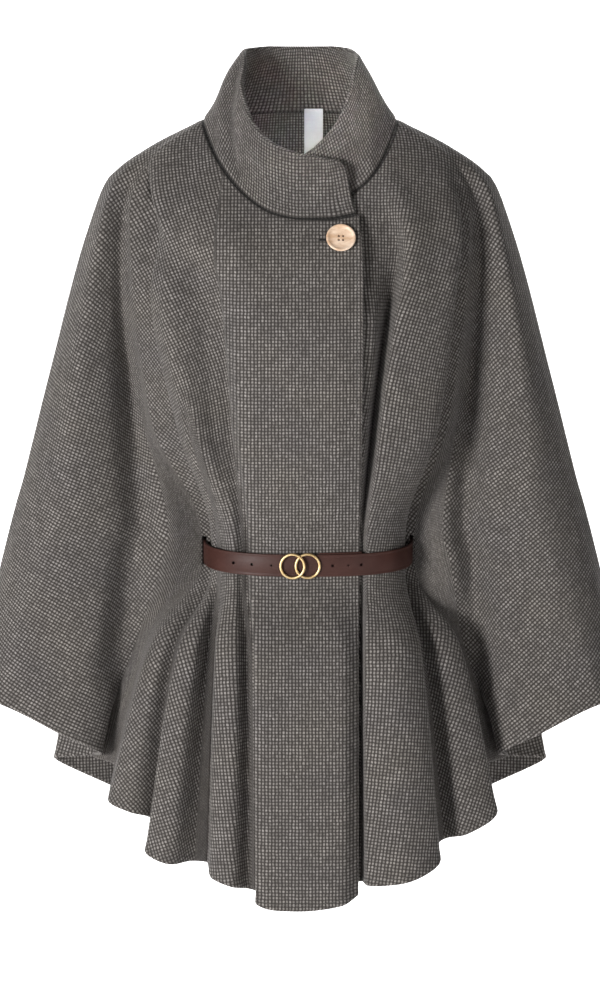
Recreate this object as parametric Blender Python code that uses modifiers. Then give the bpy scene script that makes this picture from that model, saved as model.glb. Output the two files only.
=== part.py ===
"""Belted wool cape coat, worn open-bottomed: two fronts, a back, a funnel collar,
a button, and a leather belt that enters the cape through a slit at each side.

Metres, +Z up, the front faces -Y, the wearer's left is at +X. The origin is the middle of
the neck, level with the side neck points, where the coat hangs on a pair of shoulders.
Tables are in millimetres and are scaled by MM.
"""
import math

import bmesh
import bpy
import numpy as np
from mathutils import Vector
from mathutils.bvhtree import BVHTree

MM = 0.001

# Cloth
CLOTH_WALL = 2.5
COLLAR_WALL = 5.6
SEAM_GAP = 1.8

# Neck seam: a ring that rises from the front to the back
NECK_HALF_WIDTH = 106.0
NECK_FRONT_DEPTH = 85.0
NECK_BACK_DEPTH = 77.0
NECK_FRONT_DROP = 102.0
NECK_BACK_RISE = 9.0
NECK_SEAM_LAP = 0.2
NECK_FRONT_LAP = 0.8

# Shoulder yoke: a rounded rectangle in plan, seam level at the shoulder
YOKE_HALF_WIDTH = 163.0
YOKE_FRONT_DEPTH = 106.0
YOKE_BACK_DEPTH = 108.0
YOKE_SEAM_Z = -28.0
YOKE_FRONT_Z = -148.0
YOKE_BACK_Z = -52.0

# Belt: a strap round the waist, a little to the wearer's left of the coat's middle
BELT_X = 9.0
BELT_HALF_WIDTH = 115.5
BELT_HALF_DEPTH = 88.0
BELT_SQUARENESS = 2.6
BELT_HEIGHT = 24.0
BELT_WALL = 3.0
BELT_Z = -469.0
BELT_FRONT_SAG = 3.5
BELT_HOLE_RADIUS = 1.6
BELT_HOLES_X = (-72.0, -52.0, -31.0, 35.0, 52.0, 66.0)
TAIL_FROM_X = 20.0
TAIL_TO_X = 67.0
TAIL_WALL = 2.0
TAIL_RISE = 1.5
PIECE_GAP = 0.35

# Buckle: two linked brass rings
RING_RADIUS = 13.7
RING_WIRE = 1.35
RING_SPACING = 16.4
RING_X = 0.0
RING_Z = -472.5

# Button
BUTTON_RADIUS = 15.6
BUTTON_THICKNESS = 4.2
BUTTON_X = 43.0
BUTTON_Z = -122.8
BUTTON_SEAT = 0.6
BUTTON_HOLE_RADIUS = 1.25
BUTTON_HOLE_STEP = 2.9

# Label: hangs inside the back neck seam
LABEL_WIDTH = 20.0
LABEL_LENGTH = 54.0
LABEL_WALL = 0.8
LABEL_X = 15.0
LABEL_Y = 68.5
LABEL_TOP = 12.0
LABEL_LEAN = 2.0
LABEL_TURN = -8.0

# Height of each level at the middle, at the side seam, and the seam's distance out
LEVELS = {
    "chest": (-216.0, -109.0, 227.0),
    "midriff": (-333.0, -271.0, 273.0),
    "belt_top": (-454.5, -393.0, 305.0),
    "belt_low": (-487.5, -420.0, 312.0),
    "hip": (-569.0, -517.0, 339.0),
}
BACK_LEVELS = {
    "chest": (-195.0, -109.0, 227.0),
    "midriff": (-338.0, -271.0, 273.0),
    "belt_top": (-470.0, -393.0, 305.0),
    "hip": (-618.0, -517.0, 339.0),
}
FRONT_STEPS = (2, 2, 2, 3, 4, 2, 3, 5)
BACK_STEPS = (2, 2, 2, 3, 4, 3, 5)

# The shoulder stands out of the straight line from the yoke to the chest
SHOULDER_OUT = 11.0
SHOULDER_UP = 8.5

# How far the cloth outside a slit flares from the top of the belt to its foot
SLIT_X = 118.0
SLIT_FLARE = 8.0
FLARE_REACH = 30.0
SHIFT_REACH = 100.0

# One row a fold line, named as it looks below the belt. neck and yoke are angles from the
# middle; then x and y at the chest, midriff, belt and hip, and x, y, z at the hem.
# A belt depth of None lies under the strap, belt_in further in.
FRONT_RIGHT_FOLDS = (
    # name, neck, yoke, chest, midriff, belt x, belt y, belt_in, hip, hem
    ("centre_right", 17, 5, (33, -119), (33, -113), 24, None, 3.1, (45, -119), (44, -156, -830)),
    ("centre", 0, 0, (-4, -121), (-8, -113), -4, None, 1.0, (0, -119), (0, -159, -835)),
    ("centre_mid", -15, -4, (-27, -120.5), (-28, -113.5), -21, None, 1.0, (-17, -119), (-15.5, -158, -835)),
    ("centre_left", -30, -8, (-50, -118.5), (-48, -114), -38, None, 1.0, (-33, -119), (-31, -157, -834)),
    ("centre_fold", -44, -14.5, (-67, -111), (-63.5, -105), -51.5, None, 1.0, (-47.5, -115), (-46.5, -150, -829)),
    ("centre_return", -48, -20, (-74, -99), (-66.5, -87), -57, None, 12, (-48, -90), (-45, -124, -824)),
    ("third_start", -52.5, -27, (-84, -87), (-75, -73), -64, None, 8, (-57, -86), (-55, -118, -822)),
    ("third_mid", -57.5, -36, (-100, -84), (-91, -77), -71, None, 1.0, (-71, -101), (-74, -135, -815)),
    ("third_nose", -62.5, -45, (-118, -88), (-102, -84), -78, None, 1.0, (-90, -92), (-96, -119, -809)),
    ("third_return", -66.5, -53.5, (-134, -91), (-110, -87), -85, None, 4, (-92, -64), (-101, -82, -803)),
    ("second_start", -70, -60.5, (-143, -89), (-118, -86), -90, None, 3, (-100, -64), (-116, -86, -800)),
    ("second_mid", -73, -67, (-150, -82), (-125, -79), -94, None, 1.5, (-116, -85), (-143, -110, -797)),
    ("second_nose", -76, -73.5, (-158, -69), (-131, -67), -96, -31, 0, (-131, -78), (-168, -95, -787)),
    ("second_return", -78.5, -77, (-155, -61), (-127, -55), -92, -24, 0, (-127, -60), (-163, -74, -777)),
    ("first_start", -79.7, -79, (-154, -55), (-127, -45), -90, -16, 0, (-136, -53), (-163, -64, -760)),
    ("first_mid", -80.8, -80.8, (-160, -51), (-137, -38), -96, -12, 0, (-148, -58), (-187, -79, -747)),
    ("first_nose", -82, -82.2, (-168, -47), (-149, -32), -101.8, -11, 0, (-160, -46), (-210, -64, -738)),
)
FRONT_LEFT_FOLDS = (
    # name, neck, yoke, chest, midriff, belt x, belt y, belt_in, hip, hem
    ("under_edge", 5, 0.9, (10, -114), (10, -106), 10, None, 9.5, (10, -106), (10, -143, -811)),
    ("under_mid", 20, 6.5, (38, -110), (38, -103), 39, None, 9.5, (38, -103), (38, -140, -811)),
    ("under_front", 36, 16, (76, -103), (68, -97), 61, None, 9.5, (60, -93), (60, -124, -812)),
    ("groove", 45, 30, (92, -67), (77, -61), 67, None, 8.5, (66, -92), (67, -123, -812)),
    ("fourth_mid", 53, 37, (106, -100), (88, -98), 73, None, 1.3, (71, -107), (73, -140, -812)),
    ("fourth_out", 64, 52, (139, -89), (121, -91), 97, None, 1.3, (101, -115), (112, -149, -807)),
    ("fourth_nose", 73, 73, (166, -69), (148, -67), 114, -31, 0, (130, -90), (151, -121, -790)),
    ("fourth_return", 75.5, 76, (163, -61), (144, -55), 110, -24, 0, (126, -66), (149, -88, -782)),
    ("fifth_start", 77.8, 78.4, (162, -53), (142, -43), 108, -16, 0, (134, -57), (158, -80, -777)),
    ("fifth_mid", 80, 80.4, (167, -50), (149, -34), 114, -12, 0, (152, -69), (182, -97, -767)),
    ("fifth_nose", 82, 82.2, (172, -46), (156, -29), 119.8, -11, 0, (172, -54), (215, -80, -747)),
)
# How far under the strap the placket edge lies
PLACKET_BELT_IN = 4.0
# How far in a fold line lies at the yoke, where a deep fold starts
YOKE_DIPS = {"centre_fold": -1.0, "centre_return": 2.0, "third_start": 5.0, "third_mid": 7.0,
             "third_nose": 8.0, "third_return": 7.0, "second_start": 4.0, "groove": 20.0,
             "fourth_out": 3.0}
# How far in the first rows of the left front lie at the neck and at the yoke
UNDERLAP_INSETS = ((9.5, 8.0), (9.5, 8.0), (6.5, 14.0), (1.5, 5.0))
# The wings are mirrored; the belt slit is between the first row here and the row before it
WING_FOLDS = (
    # name, neck, yoke, chest, midriff, belt x, belt y, belt_in, hip, hem
    ("valley", 83.3, 83.5, (178, -41), (162, -26), 117.7, -11, 0, (163, -26), (205, -22, -709)),
    ("valley_turn", 84.4, 84.6, (185, -29), (172, -11), 150, -26, 0, (178, -9), (231, -14, -700)),
    ("wing_nose", 85.4, 85.7, (194, -20), (184, 1), 178, -6, 0, (193, -8), (220, -38, -692)),
    ("wing_in", 86.4, 86.9, (204, -28), (209, -31), 207, -33, 0, (227, -40), (264, -58, -664)),
    ("wing_out", 87.3, 88, (214, -33), (241, -43), 254, -45, 0, (290, -46), (329, -50, -633)),
    ("wing_edge", 88.3, 89, (222, -16), (263, -19), 291, -20, 0, (327, -18), (355, -18, -627)),
    ("side_seam", 89.3, 89.9, (227, 2), (273, 4), 305, 6, 0, (339, 8), (367, 8, -620)),
)
# The back from one side seam to its middle; the other half is its mirror image
BACK_FOLDS = (
    # name, neck, yoke, chest, midriff, belt x, belt y, belt_in, hip, hem
    ("side_seam", 89.3, 89.9, (227, 2), (273, 4), 305, 6, 0, (339, 8), (367, 8, -620)),
    ("side_round", 85, 83, (221, 20), (272, 24), 303, 28, 0, (333, 28), (357, 24, -608)),
    ("pleat_top", 80, 71, (213, 48), (257, 55), 284, 55, 0, (303, 46), (273, 26, -679)),
    ("pleat_back", 74, 60, (199, 70), (236, 76), 250, 70, 0, (238, 50), (202, 41, -708)),
    ("pleat_mid", 68, 50, (184, 86), (216, 92), 238, 85, 0, (245, 69), (239, 63, -719)),
    ("pleat_nose", 61, 43, (168, 98), (198, 106), 229, 98, 0, (254, 86), (282, 81, -727)),
    ("pleat_under", 53, 34, (148, 109), (172, 118), 197, 118, 0, (215, 114), (218, 112, -768)),
    ("flute_out", 41, 22, (114, 119), (132, 130), 148, 138, 0, (162, 150), (171, 155, -801)),
    ("flute_dip", 28, 12, (78, 125), (90, 133), 100, 138, 0, (112, 146), (115, 152, -823)),
    ("flute_in", 14, 4.5, (40, 128), (46, 139), 52, 150, 0, (58, 166), (60, 186, -850)),
    ("centre_back", 0, 0, (0, 130), (0, 137), 0, 144, 0, (0, 154), (0, 166, -850)),
)

# Collar: stations from its outer end, over the other front, round the back to its inner end
COLLAR_STATIONS = (
    # base x, y, z, then top x, y, z
    ((62, -80, -95.5), (47, -63, -40)),
    ((31, -85, -100.5), (27, -66, -37)),
    ((0, -86, -101), (0, -66, -32)),
    ((-28, -83, -95.5), (-27, -62, -22)),
    ((-52, -74, -82.5), (-46, -51, -5)),
    ((-74, -61, -61.5), (-57, -34, 17)),
    ((-92, -41, -35), (-62, -14, 42)),
    ((-106, -1, 0), (-60, 15, 71)),
    ((-98, 32, 4), (-52, 42, 78)),
    ((-60, 64, 8), (-32, 58, 81)),
    ((0, 77, 9.6), (0, 62, 81)),
    ((60, 64, 8), (32, 58, 81)),
    ((98, 32, 4), (52, 42, 78)),
    ((106, -1, 0), (59.5, 15, 69)),
    ((92, -41, -35), (55, -14, 39)),
    ((74, -61, -61.5), (45, -33, 10)),
    ((52, -65, -78), (30, -42, -12)),
    ((28, -73, -92), (14, -49, -27)),
    ((10, -76, -97.5), (3, -53, -35)),
)
COLLAR_RISE = (0.0, 0.16, 0.32, 0.66, 1.0)
COLLAR_BULGE = (0.0, -1.5, -1.5, 0.5, 0.0)


def slopes(knots, values):
    """Slopes of a smooth curve through values that never overshoots them."""
    step = np.diff(knots)[:, None]
    rise = np.diff(values, axis=0) / step
    out = np.zeros_like(values)
    out[0] = rise[0]
    out[-1] = rise[-1]
    for i in range(1, len(values) - 1):
        before = rise[i - 1]
        after = rise[i]
        w1 = 2.0 * step[i] + step[i - 1]
        w2 = step[i] + 2.0 * step[i - 1]
        same = before * after > 0.0
        safe_before = np.where(same, before, 1.0)
        safe_after = np.where(same, after, 1.0)
        mean = (w1 + w2) / (w1 / safe_before + w2 / safe_after)
        out[i] = np.where(same, mean, 0.0)
    return out


def curve(knots, values, steps):
    """Points along the curve, with the given number of steps in each interval."""
    knots = np.asarray(knots, float)
    values = np.asarray(values, float)
    tangent = slopes(knots, values)
    points = [values[0]]
    for i, count in enumerate(steps):
        length = knots[i + 1] - knots[i]
        for k in range(1, count + 1):
            t = k / count
            a = (1 + 2 * t) * (1 - t) ** 2
            b = t * (1 - t) ** 2
            c = t * t * (3 - 2 * t)
            d = t * t * (t - 1)
            points.append(a * values[i] + b * length * tangent[i] + c * values[i + 1]
                          + d * length * tangent[i + 1])
    return np.array(points)


def belt_depth(x, inset):
    """Depth of the front of the waist ring at x, inset from the strap's outer face."""
    half = BELT_HALF_WIDTH - inset
    share = min(abs(x - BELT_X) / half, 0.999)
    return -(BELT_HALF_DEPTH - inset) * (1 - share ** BELT_SQUARENESS) ** (1 / BELT_SQUARENESS)


def neck_point(angle, back, inset):
    a = math.radians(angle)
    width = NECK_HALF_WIDTH - inset
    if back:
        return (width * math.sin(a), (NECK_BACK_DEPTH - inset) * math.cos(a),
                NECK_BACK_RISE * math.cos(a) + NECK_SEAM_LAP)
    return (width * math.sin(a), -(NECK_FRONT_DEPTH - inset) * math.cos(a),
            -NECK_FRONT_DROP * math.cos(a) ** 1.45 + NECK_FRONT_LAP)


def yoke_point(angle, back, inset):
    a = math.radians(angle)
    side = math.copysign(abs(math.sin(a)) ** (2 / 3), angle)
    front = abs(math.cos(a)) ** (2 / 3)
    if back:
        return (YOKE_HALF_WIDTH * side, YOKE_BACK_DEPTH * front,
                YOKE_SEAM_Z + (YOKE_BACK_Z - YOKE_SEAM_Z) * front ** 1.3)
    return (YOKE_HALF_WIDTH * side, -(YOKE_FRONT_DEPTH - inset) * front,
            YOKE_SEAM_Z + (YOKE_FRONT_Z - YOKE_SEAM_Z) * front ** 1.3)


def level_height(name, x, back):
    middle, side, reach = (BACK_LEVELS if back else LEVELS)[name]
    return middle + (side - middle) * (abs(x) / reach) ** 3


def fold_points(row, side, back=False, insets=(0.0, 0.0), belt_shift=0.0, y_shift=0.0):
    """The points of a fold line, from the neck to the hem; the back has one at the belt."""
    name, neck, yoke, chest, midriff, belt_x, belt_y, belt_in, hip, hem = row
    dip = insets[1] + YOKE_DIPS.get(name, 0.0)
    points = [neck_point(neck, back, insets[0]), yoke_point(yoke, back, dip)]
    for level, (x, y) in (("chest", chest), ("midriff", midriff)):
        points.append((x, y, level_height(level, x, back)))
    lift = math.sin(math.radians(abs(yoke))) ** 3
    near, far = points[1], points[2]
    points.insert(2, ((near[0] + far[0]) / 2 + SHOULDER_OUT * lift, (near[1] + far[1]) / 2,
                      (near[2] + far[2]) / 2 + SHOULDER_UP * lift))
    x_belt = belt_x + belt_shift * min(max(1.0 - (belt_x - SLIT_X) / SHIFT_REACH, 0.0), 1.0)
    flare = SLIT_FLARE * min(max((belt_x - SLIT_X) / FLARE_REACH, 0.0), 1.0)
    for level in ("belt_top",) if back else ("belt_top", "belt_low"):
        depth = belt_y
        if belt_y is None:
            depth = belt_depth(x_belt, BELT_WALL + belt_in + CLOTH_WALL / 2)
        points.append((x_belt, depth, level_height(level, x_belt, back)))
        x_belt += flare
    points.append((hip[0], hip[1], level_height("hip", hip[0], back)))
    points.append(hem)
    return [(side * x, y + y_shift, z) for x, y, z in points]


def through(points, steps):
    """A curve through the points, with its knots at their distances along it."""
    points = np.asarray(points, float)
    lengths = np.linalg.norm(np.diff(points, axis=0), axis=1)
    return curve(np.concatenate(([0.0], np.cumsum(lengths))), points, steps)


def cloth_grid(folds, down_steps, steps):
    """Rows of points: along each fold line first, then across them at each row."""
    down = [through(points, down_steps) for points in folds]
    return np.array([through([line[r] for line in down], steps) for r in range(len(down[0]))])


def material(name, colour, roughness, metallic=0.0):
    mat = bpy.data.materials.new(name)
    mat.use_nodes = True
    shader = mat.node_tree.nodes["Principled BSDF"]
    shader.inputs["Base Color"].default_value = (*colour, 1.0)
    shader.inputs["Roughness"].default_value = roughness
    shader.inputs["Metallic"].default_value = metallic
    return mat


def finish(obj, mat, smooth=40.0):
    obj.data.materials.append(mat)
    obj.data.shade_smooth()
    obj.data.set_sharp_from_angle(angle=math.radians(smooth))
    return obj


def mesh_object(name, verts, faces, collection):
    mesh = bpy.data.meshes.new(name)
    mesh.from_pydata([tuple(float(c) for c in v) for v in verts], [], faces)
    mesh.update()
    obj = bpy.data.objects.new(name, mesh)
    collection.objects.link(obj)
    return obj


def sheet_object(name, rows, wall, collection, skip=(), flip=False):
    """A loft of the rows' points, made a wall by Solidify, centred on the points."""
    count_r, count_c = rows.shape[:2]
    verts = rows.reshape(-1, 3) * MM
    faces = []
    for r in range(count_r - 1):
        for c in range(count_c - 1):
            if (r, c) in skip:
                continue
            a = r * count_c + c
            face = (a, a + count_c, a + count_c + 1, a + 1)
            faces.append(face[::-1] if flip else face)
    obj = mesh_object(name, verts, faces, collection)
    bm = bmesh.new()
    bm.from_mesh(obj.data)
    loose = [v for v in bm.verts if not v.link_faces]
    bmesh.ops.delete(bm, geom=loose, context="VERTS")
    bm.to_mesh(obj.data)
    bm.free()
    wall_mod = obj.modifiers.new("wall", "SOLIDIFY")
    wall_mod.thickness = wall * MM
    wall_mod.offset = 0.0
    wall_mod.use_even_offset = False
    return obj


def slit_cells(fold_index, steps):
    """Grid cells of the belt slit, after the given fold line and between the belt levels."""
    first = sum(steps[:fold_index])
    top = sum(FRONT_STEPS[:5])
    return {(r, c) for r in range(top, top + FRONT_STEPS[5])
            for c in range(first, first + steps[fold_index])}


def waist_path(inset, angles):
    """Points of the waist ring, inset from the strap's outer face, at angles from -Y."""
    power = 2 / BELT_SQUARENESS
    points = []
    for a in angles:
        x = BELT_X + (BELT_HALF_WIDTH - inset) * math.copysign(abs(math.sin(a)) ** power, math.sin(a))
        y = -(BELT_HALF_DEPTH - inset) * math.copysign(abs(math.cos(a)) ** power, math.cos(a))
        points.append((x, y))
    return points


def strap_height(y):
    return BELT_Z + BELT_FRONT_SAG * y / BELT_HALF_DEPTH


def prism_ring(name, sections, closed, collection):
    """A body through four-cornered sections; a ring when closed, else capped."""
    verts = [corner for section in sections for corner in section]
    count = len(sections)
    faces = []
    for i in range(count if closed else count - 1):
        j = (i + 1) % count
        for k in range(4):
            m = (k + 1) % 4
            faces.append((4 * i + k, 4 * i + m, 4 * j + m, 4 * j + k))
    if not closed:
        faces.append((3, 2, 1, 0))
        last = 4 * (count - 1)
        faces.append((last, last + 1, last + 2, last + 3))
    obj = mesh_object(name, np.array(verts) * MM, faces, collection)
    bm = bmesh.new()
    bm.from_mesh(obj.data)
    bmesh.ops.recalc_face_normals(bm, faces=bm.faces)
    bm.to_mesh(obj.data)
    bm.free()
    return obj


def even_angles(inset, count):
    """Angles that space the waist ring's points evenly along it."""
    fine = np.linspace(-math.pi, math.pi, 4001)
    path = np.array(waist_path(inset, fine))
    reach = np.concatenate(([0.0], np.cumsum(np.linalg.norm(np.diff(path, axis=0), axis=1))))
    wanted = np.linspace(0.0, reach[-1], count, endpoint=False)
    return np.interp(wanted, reach, fine)


def build_fronts(coat, mat):
    right = [fold_points(row, 1.0) for row in FRONT_RIGHT_FOLDS]
    right[0][0] = (31, -84, -101.8)
    edge = [(62, -80, -96.9), (65, -99, -133), (66, -107, -172), (66, -112, -216), (65, -106, -333)]
    for level in ("belt_top", "belt_low"):
        depth = belt_depth(64, BELT_WALL + PLACKET_BELT_IN + CLOTH_WALL / 2)
        edge.append((64, depth, LEVELS[level][0]))
    edge += [(62, -105, -569), (62, -139, -823)]
    right = [edge] + right
    right += [fold_points(row, -1.0, belt_shift=-BELT_X, y_shift=-SEAM_GAP / 2) for row in WING_FOLDS]
    steps = [2] * (len(right) - 1)
    steps[0] = 3
    steps[4] = 3
    slit = len(FRONT_RIGHT_FOLDS)
    steps[slit] = 1
    rows = cloth_grid(right, FRONT_STEPS, steps)
    obj = sheet_object("front_right", rows, CLOTH_WALL, coat, slit_cells(slit, steps), flip=True)
    finish(obj, mat)
    left = []
    for i, row in enumerate(FRONT_LEFT_FOLDS):
        insets = UNDERLAP_INSETS[i] if i < len(UNDERLAP_INSETS) else (0.0, 0.0)
        left.append(fold_points(row, 1.0, insets=insets))
    left += [fold_points(row, 1.0, belt_shift=BELT_X, y_shift=-SEAM_GAP / 2) for row in WING_FOLDS]
    steps = [2] * (len(left) - 1)
    slit = len(FRONT_LEFT_FOLDS) - 1
    steps[slit] = 1
    rows = cloth_grid(left, FRONT_STEPS, steps)
    obj = sheet_object("front_left", rows, CLOTH_WALL, coat, slit_cells(slit, steps))
    finish(obj, mat)


def build_back(coat, mat):
    half = [fold_points(row, -1.0, back=True, y_shift=SEAM_GAP / 2) for row in BACK_FOLDS]
    other = [[(-x, y, z) for x, y, z in line] for line in half[:-1]][::-1]
    folds = half + other
    rows = cloth_grid(folds, BACK_STEPS, [2] * (len(folds) - 1))
    finish(sheet_object("back", rows, CLOTH_WALL, coat), mat)


def build_collar(coat, mat):
    base = np.array([s[0] for s in COLLAR_STATIONS], float)
    top = np.array([s[1] for s in COLLAR_STATIONS], float)
    inward = base * (1.0, 1.0, 0.0)
    inward /= np.linalg.norm(inward, axis=1)[:, None]
    base -= inward * COLLAR_WALL / 2
    steps = [2] * (len(base) - 1)
    rows = []
    for rise, bulge in zip(COLLAR_RISE, COLLAR_BULGE):
        line = base + (top - base) * rise + inward * bulge
        rows.append(through(line, steps))
    finish(sheet_object("collar", np.array(rows), COLLAR_WALL, coat), mat)


def build_belt(coat, leather, cutters):
    count = 72
    sections = []
    for angle in even_angles(0.0, count):
        (x0, y0), = waist_path(0.0, [angle])
        (x1, y1), = waist_path(BELT_WALL, [angle])
        z = strap_height(y0)
        low = z - BELT_HEIGHT / 2
        high = z + BELT_HEIGHT / 2
        sections.append(((x0, y0, low), (x0, y0, high), (x1, y1, high), (x1, y1, low)))
    strap = prism_ring("belt_strap", sections, True, coat)
    for i, x in enumerate(BELT_HOLES_X):
        y = belt_depth(x, 0.0)
        bpy.ops.mesh.primitive_cylinder_add(
            vertices=10, radius=BELT_HOLE_RADIUS * MM, depth=12 * MM,
            location=(x * MM, y * MM, strap_height(y) * MM), rotation=(math.pi / 2, 0, 0))
        cutter = bpy.context.object
        cutter.name = f"cut_hole_{i}"
        cutter.hide_render = True
        cutter.display_type = "WIRE"
        for holder in list(cutter.users_collection):
            holder.objects.unlink(cutter)
        cutters.objects.link(cutter)
        hole = strap.modifiers.new(f"hole_{i}", "BOOLEAN")
        hole.operation = "DIFFERENCE"
        hole.object = cutter
    finish(strap, leather)
    sections = []
    outer = BELT_WALL + PIECE_GAP
    for x in np.linspace(TAIL_FROM_X, TAIL_TO_X, 9):
        y0 = belt_depth(x, outer)
        y1 = belt_depth(x, outer + TAIL_WALL)
        z = strap_height(y0) + TAIL_RISE
        low = z - BELT_HEIGHT / 2
        high = z + BELT_HEIGHT / 2
        sections.append(((x, y0, low), (x, y0, high), (x, y1, high), (x, y1, low)))
    finish(prism_ring("belt_tail", sections, False, coat), leather)


def build_buckle(coat, brass):
    """Two linked rings, cast as one piece."""
    y = -BELT_HALF_DEPTH - PIECE_GAP - RING_WIRE
    rings = []
    for side in (-0.5, 0.5):
        bpy.ops.mesh.primitive_torus_add(
            major_segments=40, minor_segments=10, major_radius=(RING_RADIUS - RING_WIRE) * MM,
            minor_radius=RING_WIRE * MM, rotation=(math.pi / 2, 0, 0),
            location=((RING_X + side * RING_SPACING) * MM, y * MM, RING_Z * MM))
        ring = bpy.context.object
        bpy.ops.object.transform_apply(location=False, rotation=True, scale=False)
        for holder in list(ring.users_collection):
            holder.objects.unlink(ring)
        coat.objects.link(ring)
        rings.append(ring)
    buckle, second = rings
    join = buckle.modifiers.new("join", "BOOLEAN")
    join.operation = "UNION"
    join.object = second
    graph = bpy.context.evaluated_depsgraph_get()
    mesh = bpy.data.meshes.new_from_object(buckle.evaluated_get(graph))
    place = buckle.location.copy()
    for ring in rings:
        bpy.data.objects.remove(ring)
    buckle = bpy.data.objects.new("buckle_rings", mesh)
    buckle.location = place
    coat.objects.link(buckle)
    mesh.materials.clear()
    finish(buckle, brass)


def build_button(coat, horn, cutters):
    """A turned button with a raised rim and four holes, lying on the right front."""
    graph = bpy.context.evaluated_depsgraph_get()
    front = BVHTree.FromObject(bpy.data.objects["front_right"], graph)
    start = Vector((BUTTON_X, -200.0, BUTTON_Z)) * MM
    seat, normal, _, _ = front.ray_cast(start, Vector((0.0, 1.0, 0.0)))
    r = BUTTON_RADIUS
    t = BUTTON_THICKNESS
    profile = ((0.0, 0.0), (r * 0.62, 0.0), (r * 0.9, t * 0.3), (r, t * 0.62), (r * 0.97, t * 0.88),
               (r * 0.88, t), (r * 0.76, t * 0.9), (r * 0.68, t * 0.68), (0.0, t * 0.6))
    verts = [(p[0] * MM, 0.0, p[1] * MM) for p in profile][::-1]
    mesh = bpy.data.meshes.new("button")
    mesh.from_pydata(verts, [(i, i + 1) for i in range(len(verts) - 1)], [])
    button = bpy.data.objects.new("button", mesh)
    coat.objects.link(button)
    turn = button.modifiers.new("turn", "SCREW")
    turn.steps = 40
    turn.render_steps = 40
    turn.axis = "Z"
    turn.use_merge_vertices = True
    turn.merge_threshold = 0.00001
    for i in range(4):
        a = math.radians(45 + 90 * i)
        bpy.ops.mesh.primitive_cylinder_add(
            vertices=10, radius=BUTTON_HOLE_RADIUS * MM, depth=20 * MM,
            location=(BUTTON_HOLE_STEP * math.cos(a) * MM, BUTTON_HOLE_STEP * math.sin(a) * MM, 0))
        cutter = bpy.context.object
        cutter.name = f"cut_button_{i}"
        cutter.hide_render = True
        cutter.display_type = "WIRE"
        for holder in list(cutter.users_collection):
            holder.objects.unlink(cutter)
        cutters.objects.link(cutter)
        cutter.parent = button
        hole = button.modifiers.new(f"hole_{i}", "BOOLEAN")
        hole.operation = "DIFFERENCE"
        hole.object = cutter
    button.location = seat + normal * BUTTON_SEAT * MM
    button.rotation_euler = normal.to_track_quat("Z", "Y").to_euler()
    finish(button, horn, 30.0)


def build_label(coat, satin):
    """A bare satin label, sewn into the back neck seam by its top edge."""
    bpy.ops.mesh.primitive_cube_add(size=1.0)
    label = bpy.context.object
    label.name = "neck_label"
    label.data.name = "neck_label"
    for vert in label.data.vertices:
        vert.co = Vector((vert.co.x * LABEL_WIDTH, vert.co.y * LABEL_WALL, vert.co.z * LABEL_LENGTH)) * MM
    label.location = Vector((LABEL_X, LABEL_Y, LABEL_TOP - LABEL_LENGTH / 2)) * MM
    label.rotation_euler = (math.radians(LABEL_LEAN), 0.0, math.radians(LABEL_TURN))
    for holder in list(label.users_collection):
        holder.objects.unlink(label)
    coat.objects.link(label)
    finish(label, satin)


def main():
    for obj in list(bpy.data.objects):
        bpy.data.objects.remove(obj)
    coat = bpy.data.collections.new("wool_cape_coat")
    cutters = bpy.data.collections.new("cutters")
    for collection in (coat, cutters):
        bpy.context.scene.collection.children.link(collection)
    wool_right = material("wool_front_right", (0.125, 0.115, 0.11), 0.9)
    wool_left = material("wool_front_left", (0.125, 0.115, 0.11), 0.9)
    wool_back = material("wool_back", (0.125, 0.115, 0.11), 0.9)
    wool_collar = material("wool_collar", (0.125, 0.115, 0.11), 0.9)
    leather = material("leather", (0.06, 0.022, 0.015), 0.45)
    brass = material("brass", (0.55, 0.4, 0.2), 0.3, 1.0)
    satin = material("satin", (0.7, 0.68, 0.72), 0.5)
    horn = material("horn", (0.6, 0.45, 0.3), 0.4)
    build_fronts(coat, wool_right)
    build_back(coat, wool_back)
    build_collar(coat, wool_collar)
    build_belt(coat, leather, cutters)
    build_buckle(coat, brass)
    build_button(coat, horn, cutters)
    build_label(coat, satin)


main()
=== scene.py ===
"""The looks of a belted wool cape coat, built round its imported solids.

Tables and sizes are in millimetres and are scaled by MM, +Z up, the front faces -Y and the
wearer's left is at +X. The fold tables are those of the solids, read here with finer steps.
"""
import math

import bmesh
import bpy
import numpy as np
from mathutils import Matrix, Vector
from mathutils.bvhtree import BVHTree

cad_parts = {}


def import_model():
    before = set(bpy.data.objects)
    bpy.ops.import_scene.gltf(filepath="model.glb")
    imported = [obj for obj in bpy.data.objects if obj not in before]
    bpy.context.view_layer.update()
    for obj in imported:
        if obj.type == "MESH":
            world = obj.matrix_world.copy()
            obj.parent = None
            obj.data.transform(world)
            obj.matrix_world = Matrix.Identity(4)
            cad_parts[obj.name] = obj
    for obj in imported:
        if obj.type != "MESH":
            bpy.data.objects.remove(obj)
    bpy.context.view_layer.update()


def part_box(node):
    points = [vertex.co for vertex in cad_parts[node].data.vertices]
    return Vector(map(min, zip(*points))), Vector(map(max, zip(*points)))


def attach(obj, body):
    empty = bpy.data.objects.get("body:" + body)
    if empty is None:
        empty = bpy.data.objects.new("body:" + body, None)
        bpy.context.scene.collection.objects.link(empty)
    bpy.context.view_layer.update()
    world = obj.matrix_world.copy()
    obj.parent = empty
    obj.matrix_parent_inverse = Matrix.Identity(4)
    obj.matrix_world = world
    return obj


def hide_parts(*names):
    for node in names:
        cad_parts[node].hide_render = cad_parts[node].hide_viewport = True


MM = 0.001

# Cloth
CLOTH_WALL = 2.5
COLLAR_WALL = 5.6
SEAM_GAP = 1.8

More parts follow.
